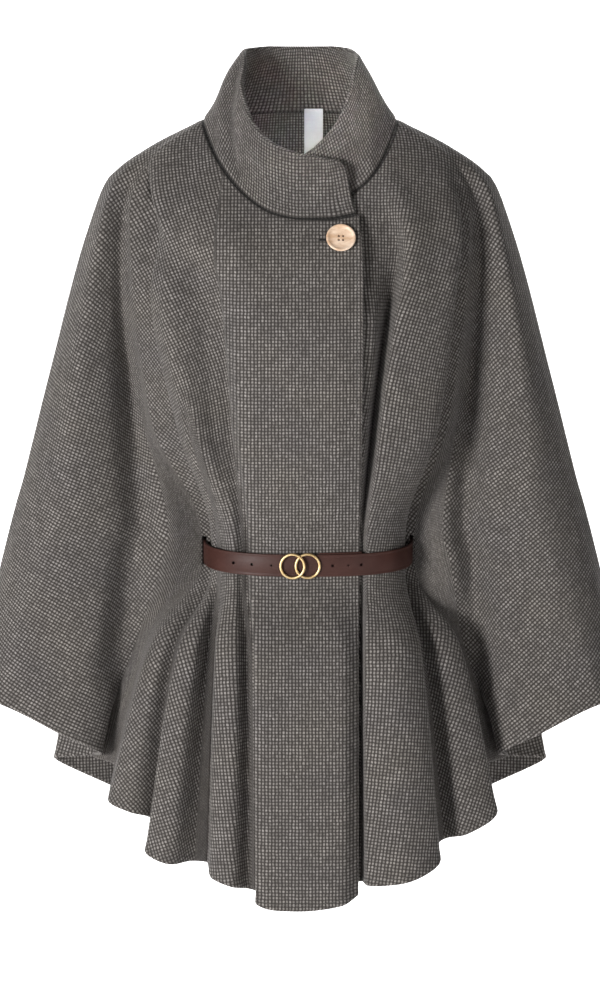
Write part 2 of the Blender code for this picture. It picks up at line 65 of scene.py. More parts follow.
# Neck seam: a ring that rises from the front to the back
NECK_HALF_WIDTH = 106.0
NECK_FRONT_DEPTH = 85.0
NECK_BACK_DEPTH = 77.0
NECK_FRONT_DROP = 102.0
NECK_BACK_RISE = 9.0
NECK_SEAM_LAP = 0.2
NECK_FRONT_LAP = 0.8

# Shoulder yoke: a rounded rectangle in plan, seam level at the shoulder
YOKE_HALF_WIDTH = 163.0
YOKE_FRONT_DEPTH = 106.0
YOKE_BACK_DEPTH = 108.0
YOKE_SEAM_Z = -28.0
YOKE_FRONT_Z = -148.0
YOKE_BACK_Z = -52.0

# Belt: a strap round the waist, a little to the wearer's left of the coat's middle
BELT_X = 9.0
BELT_HALF_WIDTH = 115.5
BELT_HALF_DEPTH = 88.0
BELT_SQUARENESS = 2.6
BELT_HEIGHT = 24.0
BELT_WALL = 3.0
BELT_Z = -469.0
BELT_FRONT_SAG = 3.5
BELT_HOLE_RADIUS = 1.6
BELT_HOLES_X = (-72.0, -52.0, -31.0, 35.0, 52.0, 66.0)
# Which of these holes are smaller, and how much
SMALL_HOLES = (2, 4)
SMALL_HOLE_SHARE = 0.7
TAIL_FROM_X = 20.0
TAIL_TO_X = 67.0
TAIL_WALL = 2.0
TAIL_RISE = 1.5
PIECE_GAP = 0.35
# Points closer than this, in metres, become one at the middle of a turned body
MERGE = 0.00001

# Buckle: two linked brass rings
RING_RADIUS = 14.3
RING_WIRE = 1.5
RING_SPACING = 16.4
RING_X = 0.0
RING_Z = -472.5

# Button
BUTTON_RADIUS = 15.6
BUTTON_THICKNESS = 4.2
BUTTON_SEAT = 0.6
BUTTON_HOLE_RADIUS = 1.35
BUTTON_HOLE_STEP = 3.15

# Label: hangs inside the back neck seam
LABEL_WIDTH = 20.0
LABEL_LENGTH = 54.0
LABEL_WALL = 0.8
LABEL_X = 15.0
LABEL_Y = 68.5
LABEL_TOP = 12.0
LABEL_LEAN = 2.0
LABEL_TURN = -8.0

# Height of each level at the middle, at the side seam, and the seam's distance out
LEVELS = {
    "chest": (-216.0, -109.0, 227.0),
    "midriff": (-333.0, -271.0, 273.0),
    "belt_top": (-454.5, -393.0, 305.0),
    "belt_low": (-487.5, -420.0, 312.0),
    "hip": (-569.0, -517.0, 339.0),
}
BACK_LEVELS = {
    "chest": (-195.0, -109.0, 227.0),
    "midriff": (-338.0, -271.0, 273.0),
    "belt_top": (-470.0, -393.0, 305.0),
    "hip": (-618.0, -517.0, 339.0),
}

# The shoulder stands out of the straight line from the yoke to the chest
SHOULDER_OUT = 11.0
SHOULDER_UP = 8.5

# How far the cloth outside a slit flares from the top of the belt to its foot
SLIT_X = 118.0
SLIT_FLARE = 8.0
FLARE_REACH = 30.0
SHIFT_REACH = 100.0

# One row a fold line, named as it looks below the belt. neck and yoke are angles from the
# middle; then x and y at the chest, midriff, belt and hip, and x, y, z at the hem.
# A belt depth of None lies under the strap, belt_in further in.
FRONT_RIGHT_FOLDS = (
    # name, neck, yoke, chest, midriff, belt x, belt y, belt_in, hip, hem
    ("centre_right", 17, 5, (33, -119), (33, -113), 24, None, 3.1, (45, -119), (44, -156, -830)),
    ("centre", 0, 0, (-4, -121), (-8, -113), -4, None, 1.0, (0, -119), (0, -159, -835)),
    ("centre_mid", -15, -4, (-27, -120.5), (-28, -113.5), -21, None, 1.0, (-17, -119),
     (-15.5, -158, -835)),
    ("centre_left", -30, -8, (-50, -118.5), (-48, -114), -38, None, 1.0, (-33, -119), (-31, -157, -834)),
    ("centre_fold", -44, -14.5, (-67, -111), (-63.5, -105), -51.5, None, 1.0, (-47.5, -115),
     (-46.5, -150, -829)),
    ("centre_return", -48, -20, (-74, -99), (-66.5, -87), -57, None, 12, (-48, -90), (-45, -124, -824)),
    ("third_start", -52.5, -27, (-84, -87), (-75, -73), -64, None, 8, (-57, -86), (-55, -118, -822)),
    ("third_mid", -57.5, -36, (-100, -84), (-91, -77), -71, None, 1.0, (-71, -101), (-74, -135, -815)),
    ("third_nose", -62.5, -45, (-118, -88), (-102, -84), -78, None, 1.0, (-90, -92), (-96, -119, -809)),
    ("third_return", -66.5, -53.5, (-134, -91), (-110, -87), -85, None, 4, (-92, -64), (-101, -82, -803)),
    ("second_start", -70, -60.5, (-143, -89), (-118, -86), -90, None, 3, (-100, -64), (-116, -86, -800)),
    ("second_mid", -73, -67, (-150, -82), (-125, -79), -94, None, 1.5, (-116, -85), (-143, -110, -797)),
    ("second_nose", -76, -73.5, (-158, -69), (-131, -67), -96, -31, 0, (-131, -78), (-168, -95, -787)),
    ("second_return", -78.5, -77, (-155, -61), (-127, -55), -92, -24, 0, (-127, -60), (-163, -74, -777)),
    ("first_start", -79.7, -79, (-154, -55), (-127, -45), -90, -16, 0, (-136, -53), (-163, -64, -760)),
    ("first_mid", -80.8, -80.8, (-160, -51), (-137, -38), -96, -12, 0, (-148, -58), (-187, -79, -747)),
    ("first_nose", -82, -82.2, (-168, -47), (-149, -32), -101.8, -11, 0, (-160, -46), (-210, -64, -738)),
)
FRONT_LEFT_FOLDS = (
    # name, neck, yoke, chest, midriff, belt x, belt y, belt_in, hip, hem
    ("under_edge", 5, 0.9, (10, -114), (10, -106), 10, None, 9.5, (10, -106), (10, -143, -811)),
    ("under_mid", 20, 6.5, (38, -110), (38, -103), 39, None, 9.5, (38, -103), (38, -140, -811)),
    ("under_front", 36, 16, (76, -103), (68, -97), 61, None, 9.5, (60, -93), (60, -124, -812)),
    ("groove", 45, 30, (92, -67), (77, -61), 67, None, 8.5, (66, -92), (67, -123, -812)),
    ("fourth_mid", 53, 37, (106, -100), (88, -98), 73, None, 1.3, (71, -107), (73, -140, -812)),
    ("fourth_out", 64, 52, (139, -89), (121, -91), 97, None, 1.3, (101, -115), (112, -149, -807)),
    ("fourth_nose", 73, 73, (166, -69), (148, -67), 114, -31, 0, (130, -90), (151, -121, -790)),
    ("fourth_return", 75.5, 76, (163, -61), (144, -55), 110, -24, 0, (126, -66), (149, -88, -782)),
    ("fifth_start", 77.8, 78.4, (162, -53), (142, -43), 108, -16, 0, (134, -57), (158, -80, -777)),
    ("fifth_mid", 80, 80.4, (167, -50), (149, -34), 114, -12, 0, (152, -69), (182, -97, -767)),
    ("fifth_nose", 82, 82.2, (172, -46), (156, -29), 119.8, -11, 0, (172, -54), (215, -80, -747)),
)
# The placket edge of the right front, how far under the strap it lies, and the next line's top
PLACKET_ABOVE_BELT = ((62, -80, -96.9), (65, -99, -133), (66, -107, -172), (66, -112, -216),
                      (65, -106, -333))
PLACKET_BELOW_BELT = ((62, -105, -569), (62, -139, -823))
PLACKET_BELT_X = 64
PLACKET_BELT_IN = 4.0
PLACKET_NECK_TURN = (31, -84, -101.8)
# How far in a fold line lies at the yoke, where a deep fold starts
YOKE_DIPS = {"centre_fold": -1.0, "centre_return": 2.0, "third_start": 5.0, "third_mid": 7.0,
             "third_nose": 8.0, "third_return": 7.0, "second_start": 4.0, "groove": 20.0,
             "fourth_out": 3.0}
# How far in the first rows of the left front lie at the neck and at the yoke
UNDERLAP_INSETS = ((9.5, 8.0), (9.5, 8.0), (6.5, 14.0), (1.5, 5.0))
# The wings are mirrored; the belt slit is between the first row here and the row before it
WING_FOLDS = (
    # name, neck, yoke, chest, midriff, belt x, belt y, belt_in, hip, hem
    ("valley", 83.3, 83.5, (178, -41), (162, -26), 117.7, -11, 0, (163, -26), (205, -22, -709)),
    ("valley_turn", 84.4, 84.6, (185, -29), (172, -11), 150, -26, 0, (178, -9), (231, -14, -700)),
    ("wing_nose", 85.4, 85.7, (194, -20), (184, 1), 178, -6, 0, (193, -8), (220, -38, -692)),
    ("wing_in", 86.4, 86.9, (204, -28), (209, -31), 207, -33, 0, (227, -40), (264, -58, -664)),
    ("wing_out", 87.3, 88, (214, -33), (241, -43), 254, -45, 0, (290, -46), (329, -50, -633)),
    ("wing_edge", 88.3, 89, (222, -16), (263, -19), 291, -20, 0, (327, -18), (355, -18, -627)),
    ("side_seam", 89.3, 89.9, (227, 2), (273, 4), 305, 6, 0, (339, 8), (367, 8, -620)),
)
# The back from one side seam to its middle; the other half is its mirror image
BACK_FOLDS = (
    # name, neck, yoke, chest, midriff, belt x, belt y, belt_in, hip, hem
    WING_FOLDS[-1],
    ("side_round", 85, 83, (221, 20), (272, 24), 303, 28, 0, (333, 28), (357, 24, -608)),
    ("pleat_top", 80, 71, (213, 48), (257, 55), 284, 55, 0, (303, 46), (273, 26, -679)),
    ("pleat_back", 74, 60, (199, 70), (236, 76), 250, 70, 0, (238, 50), (202, 41, -708)),
    ("pleat_mid", 68, 50, (184, 86), (216, 92), 238, 85, 0, (245, 69), (239, 63, -719)),
    ("pleat_nose", 61, 43, (168, 98), (198, 106), 229, 98, 0, (254, 86), (282, 81, -727)),
    ("pleat_under", 53, 34, (148, 109), (172, 118), 197, 118, 0, (215, 114), (218, 112, -768)),
    ("flute_out", 41, 22, (114, 119), (132, 130), 148, 138, 0, (162, 150), (171, 155, -801)),
    ("flute_dip", 28, 12, (78, 125), (90, 133), 100, 138, 0, (112, 146), (115, 152, -823)),
    ("flute_in", 14, 4.5, (40, 128), (46, 139), 52, 150, 0, (58, 166), (60, 186, -850)),
    ("centre_back", 0, 0, (0, 130), (0, 137), 0, 144, 0, (0, 154), (0, 166, -850)),
)

# Collar: stations from its outer end, over the other front, round the back to its inner end
COLLAR_STATIONS = (
    # base x, y, z, then top x, y, z
    ((62, -80, -95.5), (47, -63, -40)),
    ((31, -85, -100.5), (27, -66, -37)),
    ((0, -86, -101), (0, -66, -32)),
    ((-28, -83, -95.5), (-27, -62, -22)),
    ((-52, -74, -82.5), (-46, -51, -5)),
    ((-74, -61, -61.5), (-57, -34, 17)),
    ((-92, -41, -35), (-62, -14, 42)),
    ((-106, -1, 0), (-60, 15, 71)),
    ((-98, 32, 4), (-52, 42, 78)),
    ((-60, 64, 8), (-32, 58, 81)),
    ((0, 77, 9.6), (0, 62, 81)),
    ((60, 64, 8), (32, 58, 81)),
    ((98, 32, 4), (52, 42, 78)),
    ((106, -1, 0), (59.5, 15, 69)),
    ((92, -41, -35), (55, -14, 39)),
    ((74, -61, -61.5), (45, -33, 10)),
    ((52, -65, -78), (30, -42, -12)),
    ((28, -73, -92), (14, -49, -27)),
    ((10, -76, -97.5), (3, -53, -35)),
)
COLLAR_RISE = (0.0, 0.16, 0.32, 0.66, 1.0)
COLLAR_BULGE = (0.0, -1.5, -1.5, 0.5, 0.0)

# Valleys whose hidden cloth the pattern takes in: between which fold lines, and how deep
RIGHT_POCKETS = ((6.5, 60.0), (10.5, 85.0), (14.5, 95.0), (18.5, 110.0))
LEFT_POCKETS = ((3.5, 70.0), (7.5, 90.0), (11.5, 110.0))
# How far below the neck seam these start, over how much they grow, and where they are full
POCKETS_FROM = 260.0
POCKETS_RAMP = 160.0
POCKETS_FULL_AT = 850.0
# Fold line after which, in the valley's depth, the upright grain of the middle ends
UPRIGHT_UNTIL = 6

# Floor, backdrop and lights
FLOOR_Z = -1.42
SWEEP_Y = 3.6
SWEEP_RADIUS = 0.9
SWEEP_TOP = 4.0
SWEEP_HALF_WIDTH = 9.0
SWEEP_STEPS = 12
FLOOR_FRONT_Y = -9.0
FLOOR_COLOUR = (0.93, 0.93, 0.93)
WORLD_LIGHT = 0.12
LIGHTS = (
    # name, place, aimed at, width and height, power in watts, spread in degrees
    ("key", (-2.25, -2.95, -0.15), (0.0, 0.0, -0.45), (0.9, 0.9), 158.0, 180.0),
    ("fill", (1.9, -3.1, -0.5), (0.0, 0.0, -0.45), (1.6, 1.6), 24.0, 180.0),
    ("neck", (0.15, -2.3, 0.55), (0.012, 0.06, -0.02), (0.08, 0.08), 0.055, 5.0),
    ("back", (0.0, 2.3, 1.6), (0.0, 2.3, -1.0), (3.0, 1.2), 210.0, 180.0),
)

# Rows kept close together beside the hem and the front edge, and the collar's rim and ends;
# the last is where the rounded rim starts
HEM_ROWS = (15.0, 11.0, 8.5, 7.2, 6.0, 4.8, 3.6, 2.2, 0.9)
EDGE_ROWS = HEM_ROWS[::-1]
COLLAR_RIM_ROWS = (15.0, 11.0, 8.5, 7.2, 6.0, 5.0, 4.1, 3.3)
COLLAR_END_ROWS = COLLAR_RIM_ROWS[::-1]
NECK_ROWS = (0.0, 1.2, 2.4, 3.8, 6.0)
STITCH_INSET = 6.0
DOWN_STEPS = (6, 6, 6, 9, 12, 5, 10, 14)
BACK_DOWN_STEPS = (6, 6, 6, 9, 12, 10, 14)
ACROSS_STEPS = 6
SLIT_STEPS = 2
RIM_STEPS = 4
COLLAR_STEPS = 6
COLLAR_CORNER = 11.0
COLLAR_BASE_THIN = 1.5
# Soft ridges of the collar: station at its base and at its rim, width in stations, height in mm
COLLAR_RIDGES = (
    (4.6, 6.7, 0.55, 3.2),
    (5.7, 7.6, 0.55, -3.0),
    (15.6, 14.1, 0.6, 2.0),
    (14.7, 13.2, 0.6, -2.0),
)

# Buttonhole: what shows of it beside the button
BUTTONHOLE_SHOWS = 7.5
BUTTONHOLE_HALF = 1.05
BUTTONHOLE_SIDES = 8
BUTTONHOLE_RAISED = -1.0
BUTTONHOLE_PROUD = 0.5

# Hem and edge allowance under the topstitching
HALF_WALL = CLOTH_WALL / 2
HEM_SWELL = 0.5
STITCH_SINK = 0.45

# Groove of a seam: how deep, how wide its roll and how wide the line of painted shade along it
SEAM_SINK = 1.3
SEAM_ROLL = 2.6
SEAM_SHADE = 0.9
SHOULDER_SEAM_REACH = 150.0

# Weave, in metres and in shares of red, green and blue, the near black of the painted seam shade, and the
# label's ribs
WEAVE_PITCH = 0.0036
WEAVE_WANDER = 0.0016
WEAVE_GROUND = (0.034, 0.0295, 0.0268)
WEAVE_LIGHT = (0.262, 0.243, 0.229)
# Near black: painted shade of the sunken seam grooves
PAINTED_SEAM_SHADE = (0.006, 0.0055, 0.005)
RIB_PITCH = 0.0007

# Threads, and the buttonhole's painted shade
STITCH_LENGTH = 3.1
STITCH_GAP = 1.0
THREAD_RADIUS = 0.28
THREAD_COLOUR = (0.10, 0.095, 0.09)
# Near black: painted shade of the buttonhole's slit
BUTTONHOLE_SHADE_COLOUR = (0.007, 0.006, 0.0055)

# Camera, matched to the photograph
CAMERA_Y = -3.0
CAMERA_Z = 0.05
CAMERA_TILT = 8.8
CAMERA_LENS = 99.0
SENSOR = 36.0


def linked(name, data):
    """A new object in the scene's collection."""
    obj = bpy.data.objects.new(name, data)
    bpy.context.scene.collection.objects.link(obj)
    return obj


def smooth_object(name, verts, faces):
    """A smoothly shaded mesh, from points in millimetres."""
    mesh = bpy.data.meshes.new(name)
    mesh.from_pydata((np.asarray(verts) * MM).tolist(), [], faces)
    mesh.update()
    mesh.shade_smooth()
    return linked(name, mesh)


def slopes(knots, values):
    """Slopes of a smooth curve through values that never overshoots them."""
    step = np.diff(knots)[:, None]
    rise = np.diff(values, axis=0) / step
    out = np.zeros_like(values)
    out[0] = rise[0]
    out[-1] = rise[-1]
    for i in range(1, len(values) - 1):
        before = rise[i - 1]
        after = rise[i]
        w1 = 2.0 * step[i] + step[i - 1]
        w2 = step[i] + 2.0 * step[i - 1]
        same = before * after > 0.0
        safe_before = np.where(same, before, 1.0)
        safe_after = np.where(same, after, 1.0)
        mean = (w1 + w2) / (w1 / safe_before + w2 / safe_after)
        out[i] = np.where(same, mean, 0.0)
    return out


def belt_depth(x, inset):
    """Depth of the front of the waist ring at x, inset from the strap's outer face."""
    half = BELT_HALF_WIDTH - inset
    share = min(abs(x - BELT_X) / half, 0.999)
    return -(BELT_HALF_DEPTH - inset) * (1 - share ** BELT_SQUARENESS) ** (1 / BELT_SQUARENESS)


def neck_point(angle, back, inset):
    """Point of the neck seam at an angle from the middle of the front or the back."""
    a = math.radians(angle)
    width = NECK_HALF_WIDTH - inset
    if back:
        return (width * math.sin(a), (NECK_BACK_DEPTH - inset) * math.cos(a),
                NECK_BACK_RISE * math.cos(a) + NECK_SEAM_LAP)
    return (width * math.sin(a), -(NECK_FRONT_DEPTH - inset) * math.cos(a),
            -NECK_FRONT_DROP * math.cos(a) ** 1.45 + NECK_FRONT_LAP)


def yoke_point(angle, back, inset):
    """Point of the shoulder yoke at an angle from the middle of the front or the back."""
    a = math.radians(angle)
    side = math.copysign(abs(math.sin(a)) ** (2 / 3), angle)
    front = abs(math.cos(a)) ** (2 / 3)
    if back:
        return (YOKE_HALF_WIDTH * side, YOKE_BACK_DEPTH * front,
                YOKE_SEAM_Z + (YOKE_BACK_Z - YOKE_SEAM_Z) * front ** 1.3)
    return (YOKE_HALF_WIDTH * side, -(YOKE_FRONT_DEPTH - inset) * front,
            YOKE_SEAM_Z + (YOKE_FRONT_Z - YOKE_SEAM_Z) * front ** 1.3)


def level_height(name, x, back):
    middle, side, reach = (BACK_LEVELS if back else LEVELS)[name]
    return middle + (side - middle) * (abs(x) / reach) ** 3


def fold_points(row, side, back=False, insets=(0.0, 0.0), belt_shift=0.0, y_shift=0.0):
    """The points of a fold line, from the neck to the hem: one at the belt on the back, else two."""
    name, neck, yoke, chest, midriff, belt_x, belt_y, belt_in, hip, hem = row
    dip = insets[1] + YOKE_DIPS.get(name, 0.0)
    points = [neck_point(neck, back, insets[0]), yoke_point(yoke, back, dip)]
    for level, (x, y) in (("chest", chest), ("midriff", midriff)):
        points.append((x, y, level_height(level, x, back)))
    lift = math.sin(math.radians(abs(yoke))) ** 3
    near, far = points[1], points[2]
    points.insert(2, ((near[0] + far[0]) / 2 + SHOULDER_OUT * lift, (near[1] + far[1]) / 2,
                      (near[2] + far[2]) / 2 + SHOULDER_UP * lift))
    x_belt = belt_x + belt_shift * min(max(1.0 - (belt_x - SLIT_X) / SHIFT_REACH, 0.0), 1.0)
    flare = SLIT_FLARE * min(max((belt_x - SLIT_X) / FLARE_REACH, 0.0), 1.0)
    for level in ("belt_top",) if back else ("belt_top", "belt_low"):
        depth = belt_y
        if belt_y is None:
            depth = belt_depth(x_belt, BELT_WALL + belt_in + CLOTH_WALL / 2)
        points.append((x_belt, depth, level_height(level, x_belt, back)))
        x_belt += flare
    points.append((hip[0], hip[1], level_height("hip", hip[0], back)))
    points.append(hem)
    return [(side * x, y + y_shift, z) for x, y, z in points]


def waist_path(inset, angles):
    """Points of the waist ring, inset from the strap's outer face, at angles from -Y."""
    power = 2 / BELT_SQUARENESS
    points = []
    for a in angles:
        x = BELT_X + (BELT_HALF_WIDTH - inset) * math.copysign(abs(math.sin(a)) ** power, math.sin(a))
        y = -(BELT_HALF_DEPTH - inset) * math.copysign(abs(math.cos(a)) ** power, math.cos(a))
        points.append((x, y))
    return points


def strap_height(y):
    return BELT_Z + BELT_FRONT_SAG * y / BELT_HALF_DEPTH


def even_angles(inset, count):
    """Angles that space the waist ring's points evenly along it."""
    fine = np.linspace(-math.pi, math.pi, 4001)
    path = np.array(waist_path(inset, fine))
    reach = np.concatenate(([0.0], np.cumsum(np.linalg.norm(np.diff(path, axis=0), axis=1))))
    wanted = np.linspace(0.0, reach[-1], count, endpoint=False)
    return np.interp(wanted, reach, fine)


def distances(points):
    """How far along a line each of its points is."""
    steps = np.linalg.norm(np.diff(points, axis=0), axis=1)
    return np.concatenate(([0.0], np.cumsum(steps)))


def hermite(knots, values, at):
    """The smooth curve through values, read at any places along its knots."""
    tangent = slopes(knots, values)
    i = np.clip(np.searchsorted(knots, at, side="right") - 1, 0, len(knots) - 2)
    length = (knots[i + 1] - knots[i])[:, None]
    t = (at - knots[i])[:, None] / length
    near = (1 + 2 * t) * (1 - t) ** 2 * values[i] + t * (1 - t) ** 2 * length * tangent[i]
    far = t * t * (3 - 2 * t) * values[i + 1] + t * t * (t - 1) * length * tangent[i + 1]
    return near + far


def places(knots, steps, first=(), last=()):
    """Where to read a line: even steps in each interval, and closer ones near its ends."""
    marks = [knots[0] + d for d in first] or [knots[0]]
    for i, count in enumerate(steps):
        end = knots[i + 1]
        if last and i == len(steps) - 1:
            end -= last[0]
        marks += list(np.linspace(marks[-1], end, count + 1)[1:])
    marks += [knots[-1] - d for d in last[1:]]
    return np.array(marks)


def read_line(points, steps, first=(), last=()):
    points = np.asarray(points, float)
    knots = distances(points)
    return hermite(knots, points, places(knots, steps, first, last))


def cloth_grid(folds, down_steps, steps, edge=()):
    """Rows of points over a panel, closest along its hem and its front edge."""
    down = [read_line(points, down_steps, NECK_ROWS, HEM_ROWS) for points in folds]
    rows = []
    for r in range(len(down[0])):
        rows.append(read_line([line[r] for line in down], steps, first=edge))
    return np.array(rows)


def grid_normals(grid, side):
    """Unit normals of a grid of points, towards the outside of the garment."""
    down = np.gradient(grid, axis=0)
    across = np.gradient(grid, axis=1)
    normal = np.cross(across, down) * side
    return normal / np.maximum(np.linalg.norm(normal, axis=2), 1e-9)[..., None]


def ramp(x, low, high):
    """0 below low, 1 above high, and smooth between them."""
    t = np.clip((x - low) / (high - low), 0.0, 1.0)
    return t * t * (3 - 2 * t)


def edge_distances(grid, axis, end, rim=0.0):
    """How far each point of a grid is from one of its ends, along its row or column."""
    steps = np.linalg.norm(np.diff(grid, axis=axis), axis=2)
    sums = np.cumsum(steps, axis=axis)
    zero = np.zeros_like(np.take(sums, [0], axis=axis))
    reach = np.concatenate((zero, sums), axis=axis)
    return rim + (np.take(reach, [-1], axis=axis) - reach if end else reach)


def hem_swell(distance):
    """What a turned and topstitched edge adds to half the wall, by the distance from it."""
    turned = HEM_SWELL * (1.0 - ramp(distance, STITCH_INSET, STITCH_INSET + 2.5))
    sunk = STITCH_SINK * np.exp(-((distance - STITCH_INSET) / 0.9) ** 2)
    return turned - sunk


def grid_faces(count_r, count_c, holes, side):
    faces = []
    for r in range(count_r - 1):
        for c in range(count_c - 1):
            if (r, c) in holes:
                continue
            a = r * count_c + c
            face = (a, a + count_c, a + count_c + 1, a + 1)
            faces.append(face if side < 0 else face[::-1])
    return faces


def rim_edges(faces):
    """Edges that only one face uses, each in the direction of that face."""
    seen = {(a, b) for face in faces for a, b in zip(face, face[1:] + face[:1])}
    return [(a, b) for a, b in sorted(seen) if (b, a) not in seen]


def shell_object(name, grid, normals, half, pattern, side, holes=(), seam=None):
    """A wall on both sides of a grid of points, with its free edges rounded."""
    count_r, count_c = grid.shape[:2]
    faces = grid_faces(count_r, count_c, holes, side)
    points = grid.reshape(-1, 3)
    up = normals.reshape(-1, 3)
    wall = half.reshape(-1, 1)
    if seam is None:
        seam = np.zeros(grid.shape[:2])
    flat = np.concatenate((pattern, seam[..., None]), axis=2).reshape(-1, 3)
    edges = rim_edges(faces)
    rim = sorted({i for edge in edges for i in edge})
    order = {vertex: k for k, vertex in enumerate(rim)}
    out = np.zeros((len(rim), 3))
    for a, b in edges:
        sideways = np.cross(points[b] - points[a], up[a] + up[b])
        sideways /= max(np.linalg.norm(sideways), 1e-9)
        out[order[a]] += sideways
        out[order[b]] += sideways
    out /= np.maximum(np.linalg.norm(out, axis=1), 1e-9)[:, None]
    total = len(points)
    verts = [points + up * wall, points - up * wall]
    marks = [flat, flat]
    for k in range(1, RIM_STEPS):
        angle = math.pi * k / RIM_STEPS
        lift = up[rim] * math.cos(angle) + out * math.sin(angle)
        verts.append(points[rim] + lift * wall[rim])
        marks.append(flat[rim] + 0.001 * wall[rim] * math.sin(angle) * (1.0, 1.0, 0.0))
    walls = list(faces)
    walls += [tuple(i + total for i in face[::-1]) for face in faces]

    def ring(k, vertex):
        if k == 0:
            return vertex
        if k == RIM_STEPS:
            return vertex + total
        return 2 * total + (k - 1) * len(rim) + order[vertex]

    for a, b in edges:
        for k in range(RIM_STEPS):
            walls.append((ring(k, b), ring(k, a), ring(k + 1, a), ring(k + 1, b)))
    used = sorted({i for face in walls for i in face})
    place = {vertex: k for k, vertex in enumerate(used)}
    walls = [tuple(place[i] for i in face) for face in walls]
    obj = smooth_object(name, np.concatenate(verts)[used], walls)
    attribute = obj.data.attributes.new("pattern", "FLOAT_VECTOR", "POINT")
    attribute.data.foreach_set("vector", np.concatenate(marks)[used].astype(np.float32).ravel())
    return obj


def flat_pattern(grid, holes, upright):
    """The panel laid flat, in metres, with the line of column upright as its grain."""
    count_r, count_c = grid.shape[:2]
    faces = grid_faces(count_r, count_c, holes, -1)
    mesh = bpy.data.meshes.new("flat")
    mesh.from_pydata((grid.reshape(-1, 3) * MM).tolist(), [], faces)
    obj = linked("flat", mesh)
    bpy.context.view_layer.objects.active = obj
    obj.select_set(True)
    mesh.uv_layers.new(name="flat")
    bpy.ops.object.mode_set(mode="EDIT")
    bpy.ops.mesh.select_all(action="SELECT")
    bpy.ops.uv.unwrap(method="MINIMUM_STRETCH", iterations=12, margin=0.0)
    bpy.ops.object.mode_set(mode="OBJECT")
    layer = mesh.uv_layers["flat"]
    uv = np.zeros(len(mesh.loops) * 2)
    layer.uv.foreach_get("vector", uv)
    corner = np.zeros(len(mesh.loops), int)
    mesh.loops.foreach_get("vertex_index", corner)
    flat = np.zeros((count_r * count_c, 2))
    flat[corner] = uv.reshape(-1, 2)
    flat = flat.reshape(count_r, count_c, 2)
    run = flat[-1, upright] - flat[0, upright]
    real = distances(grid[:, upright])[-1] * MM
    drawn = distances(flat[:, upright])[-1]
    turn = -math.pi / 2 - math.atan2(run[1], run[0])
    spin = np.array([[math.cos(turn), math.sin(turn)], [-math.sin(turn), math.cos(turn)]])
    flat = (flat - flat[0, upright]) @ spin * (real / drawn)
    bpy.data.objects.remove(obj)
    bpy.data.meshes.remove(mesh)
    return flat


def upright_grain(grid, flat, level, last, upright):
    """The laid-flat panel, with threads that stand upright in its columns up to the last."""
    tall = grid[..., (0, 2)] * MM
    tall += flat[level, upright] - tall[level, upright]
    middle = (np.arange(grid.shape[1]) <= last)[None, :, None]
    return np.where(middle, tall, flat)


def deepened(grid, columns, pockets):
    """The grid with its hidden valleys as deep as the real cloth's, for laying it flat."""
    deep = grid.copy()
    reach = edge_distances(grid, 0, False)
    growth = ramp(reach, POCKETS_FROM, POCKETS_FROM + POCKETS_RAMP) * reach / POCKETS_FULL_AT
    place = np.interp(np.arange(grid.shape[1]), columns, np.arange(len(columns)))
    for middle, depth in pockets:
        hat = np.clip(1.0 - np.abs(place - middle) * 2.0, 0.0, 1.0)
        deep[..., 1] += depth * hat * growth * math.copysign(1.0, -grid[..., 1].mean())
    return deep


def fold_columns(steps, extra):
    """The grid column of each fold line."""
    return [0] + [extra + sum(steps[:i + 1]) for i in range(len(steps))]


def belt_row():
    """The row of a front that lies at the top of the belt."""
    return len(NECK_ROWS) - 1 + sum(DOWN_STEPS[:5])


def slit_holes(fold_index, steps, extra):
    """Grid cells of the belt slit, after the given fold line and between the belt levels."""
    first = extra + sum(steps[:fold_index])
    top = belt_row()
    return {(r, c) for r in range(top, top + DOWN_STEPS[5])
            for c in range(first, first + steps[fold_index])}


def front_right_folds():
    """The right front's lines from its placket edge to its side seam, and the slit's place."""
    right = [fold_points(row, 1.0) for row in FRONT_RIGHT_FOLDS]
    right[0][0] = PLACKET_NECK_TURN
    edge = list(PLACKET_ABOVE_BELT)
    for level in ("belt_top", "belt_low"):
        depth = belt_depth(PLACKET_BELT_X, BELT_WALL + PLACKET_BELT_IN + CLOTH_WALL / 2)
        edge.append((PLACKET_BELT_X, depth, LEVELS[level][0]))
    edge += PLACKET_BELOW_BELT
    wing = [fold_points(row, -1.0, belt_shift=-BELT_X, y_shift=-SEAM_GAP / 2) for row in WING_FOLDS]
    return [edge] + right + wing, len(FRONT_RIGHT_FOLDS)


def front_left_folds():
    """The left front's lines from its hidden edge to its side seam, and the slit's place."""
    left = []
    for i, row in enumerate(FRONT_LEFT_FOLDS):
        insets = UNDERLAP_INSETS[i] if i < len(UNDERLAP_INSETS) else (0.0, 0.0)
        left.append(fold_points(row, 1.0, insets=insets))
    left += [fold_points(row, 1.0, belt_shift=BELT_X, y_shift=-SEAM_GAP / 2) for row in WING_FOLDS]
    return left, len(FRONT_LEFT_FOLDS) - 1


def back_folds():
    """The back's lines from one side seam to the other."""
    half = [fold_points(row, -1.0, back=True, y_shift=SEAM_GAP / 2) for row in BACK_FOLDS]
    return half + [[(-x, y, z) for x, y, z in line] for line in half[:-1]][::-1]


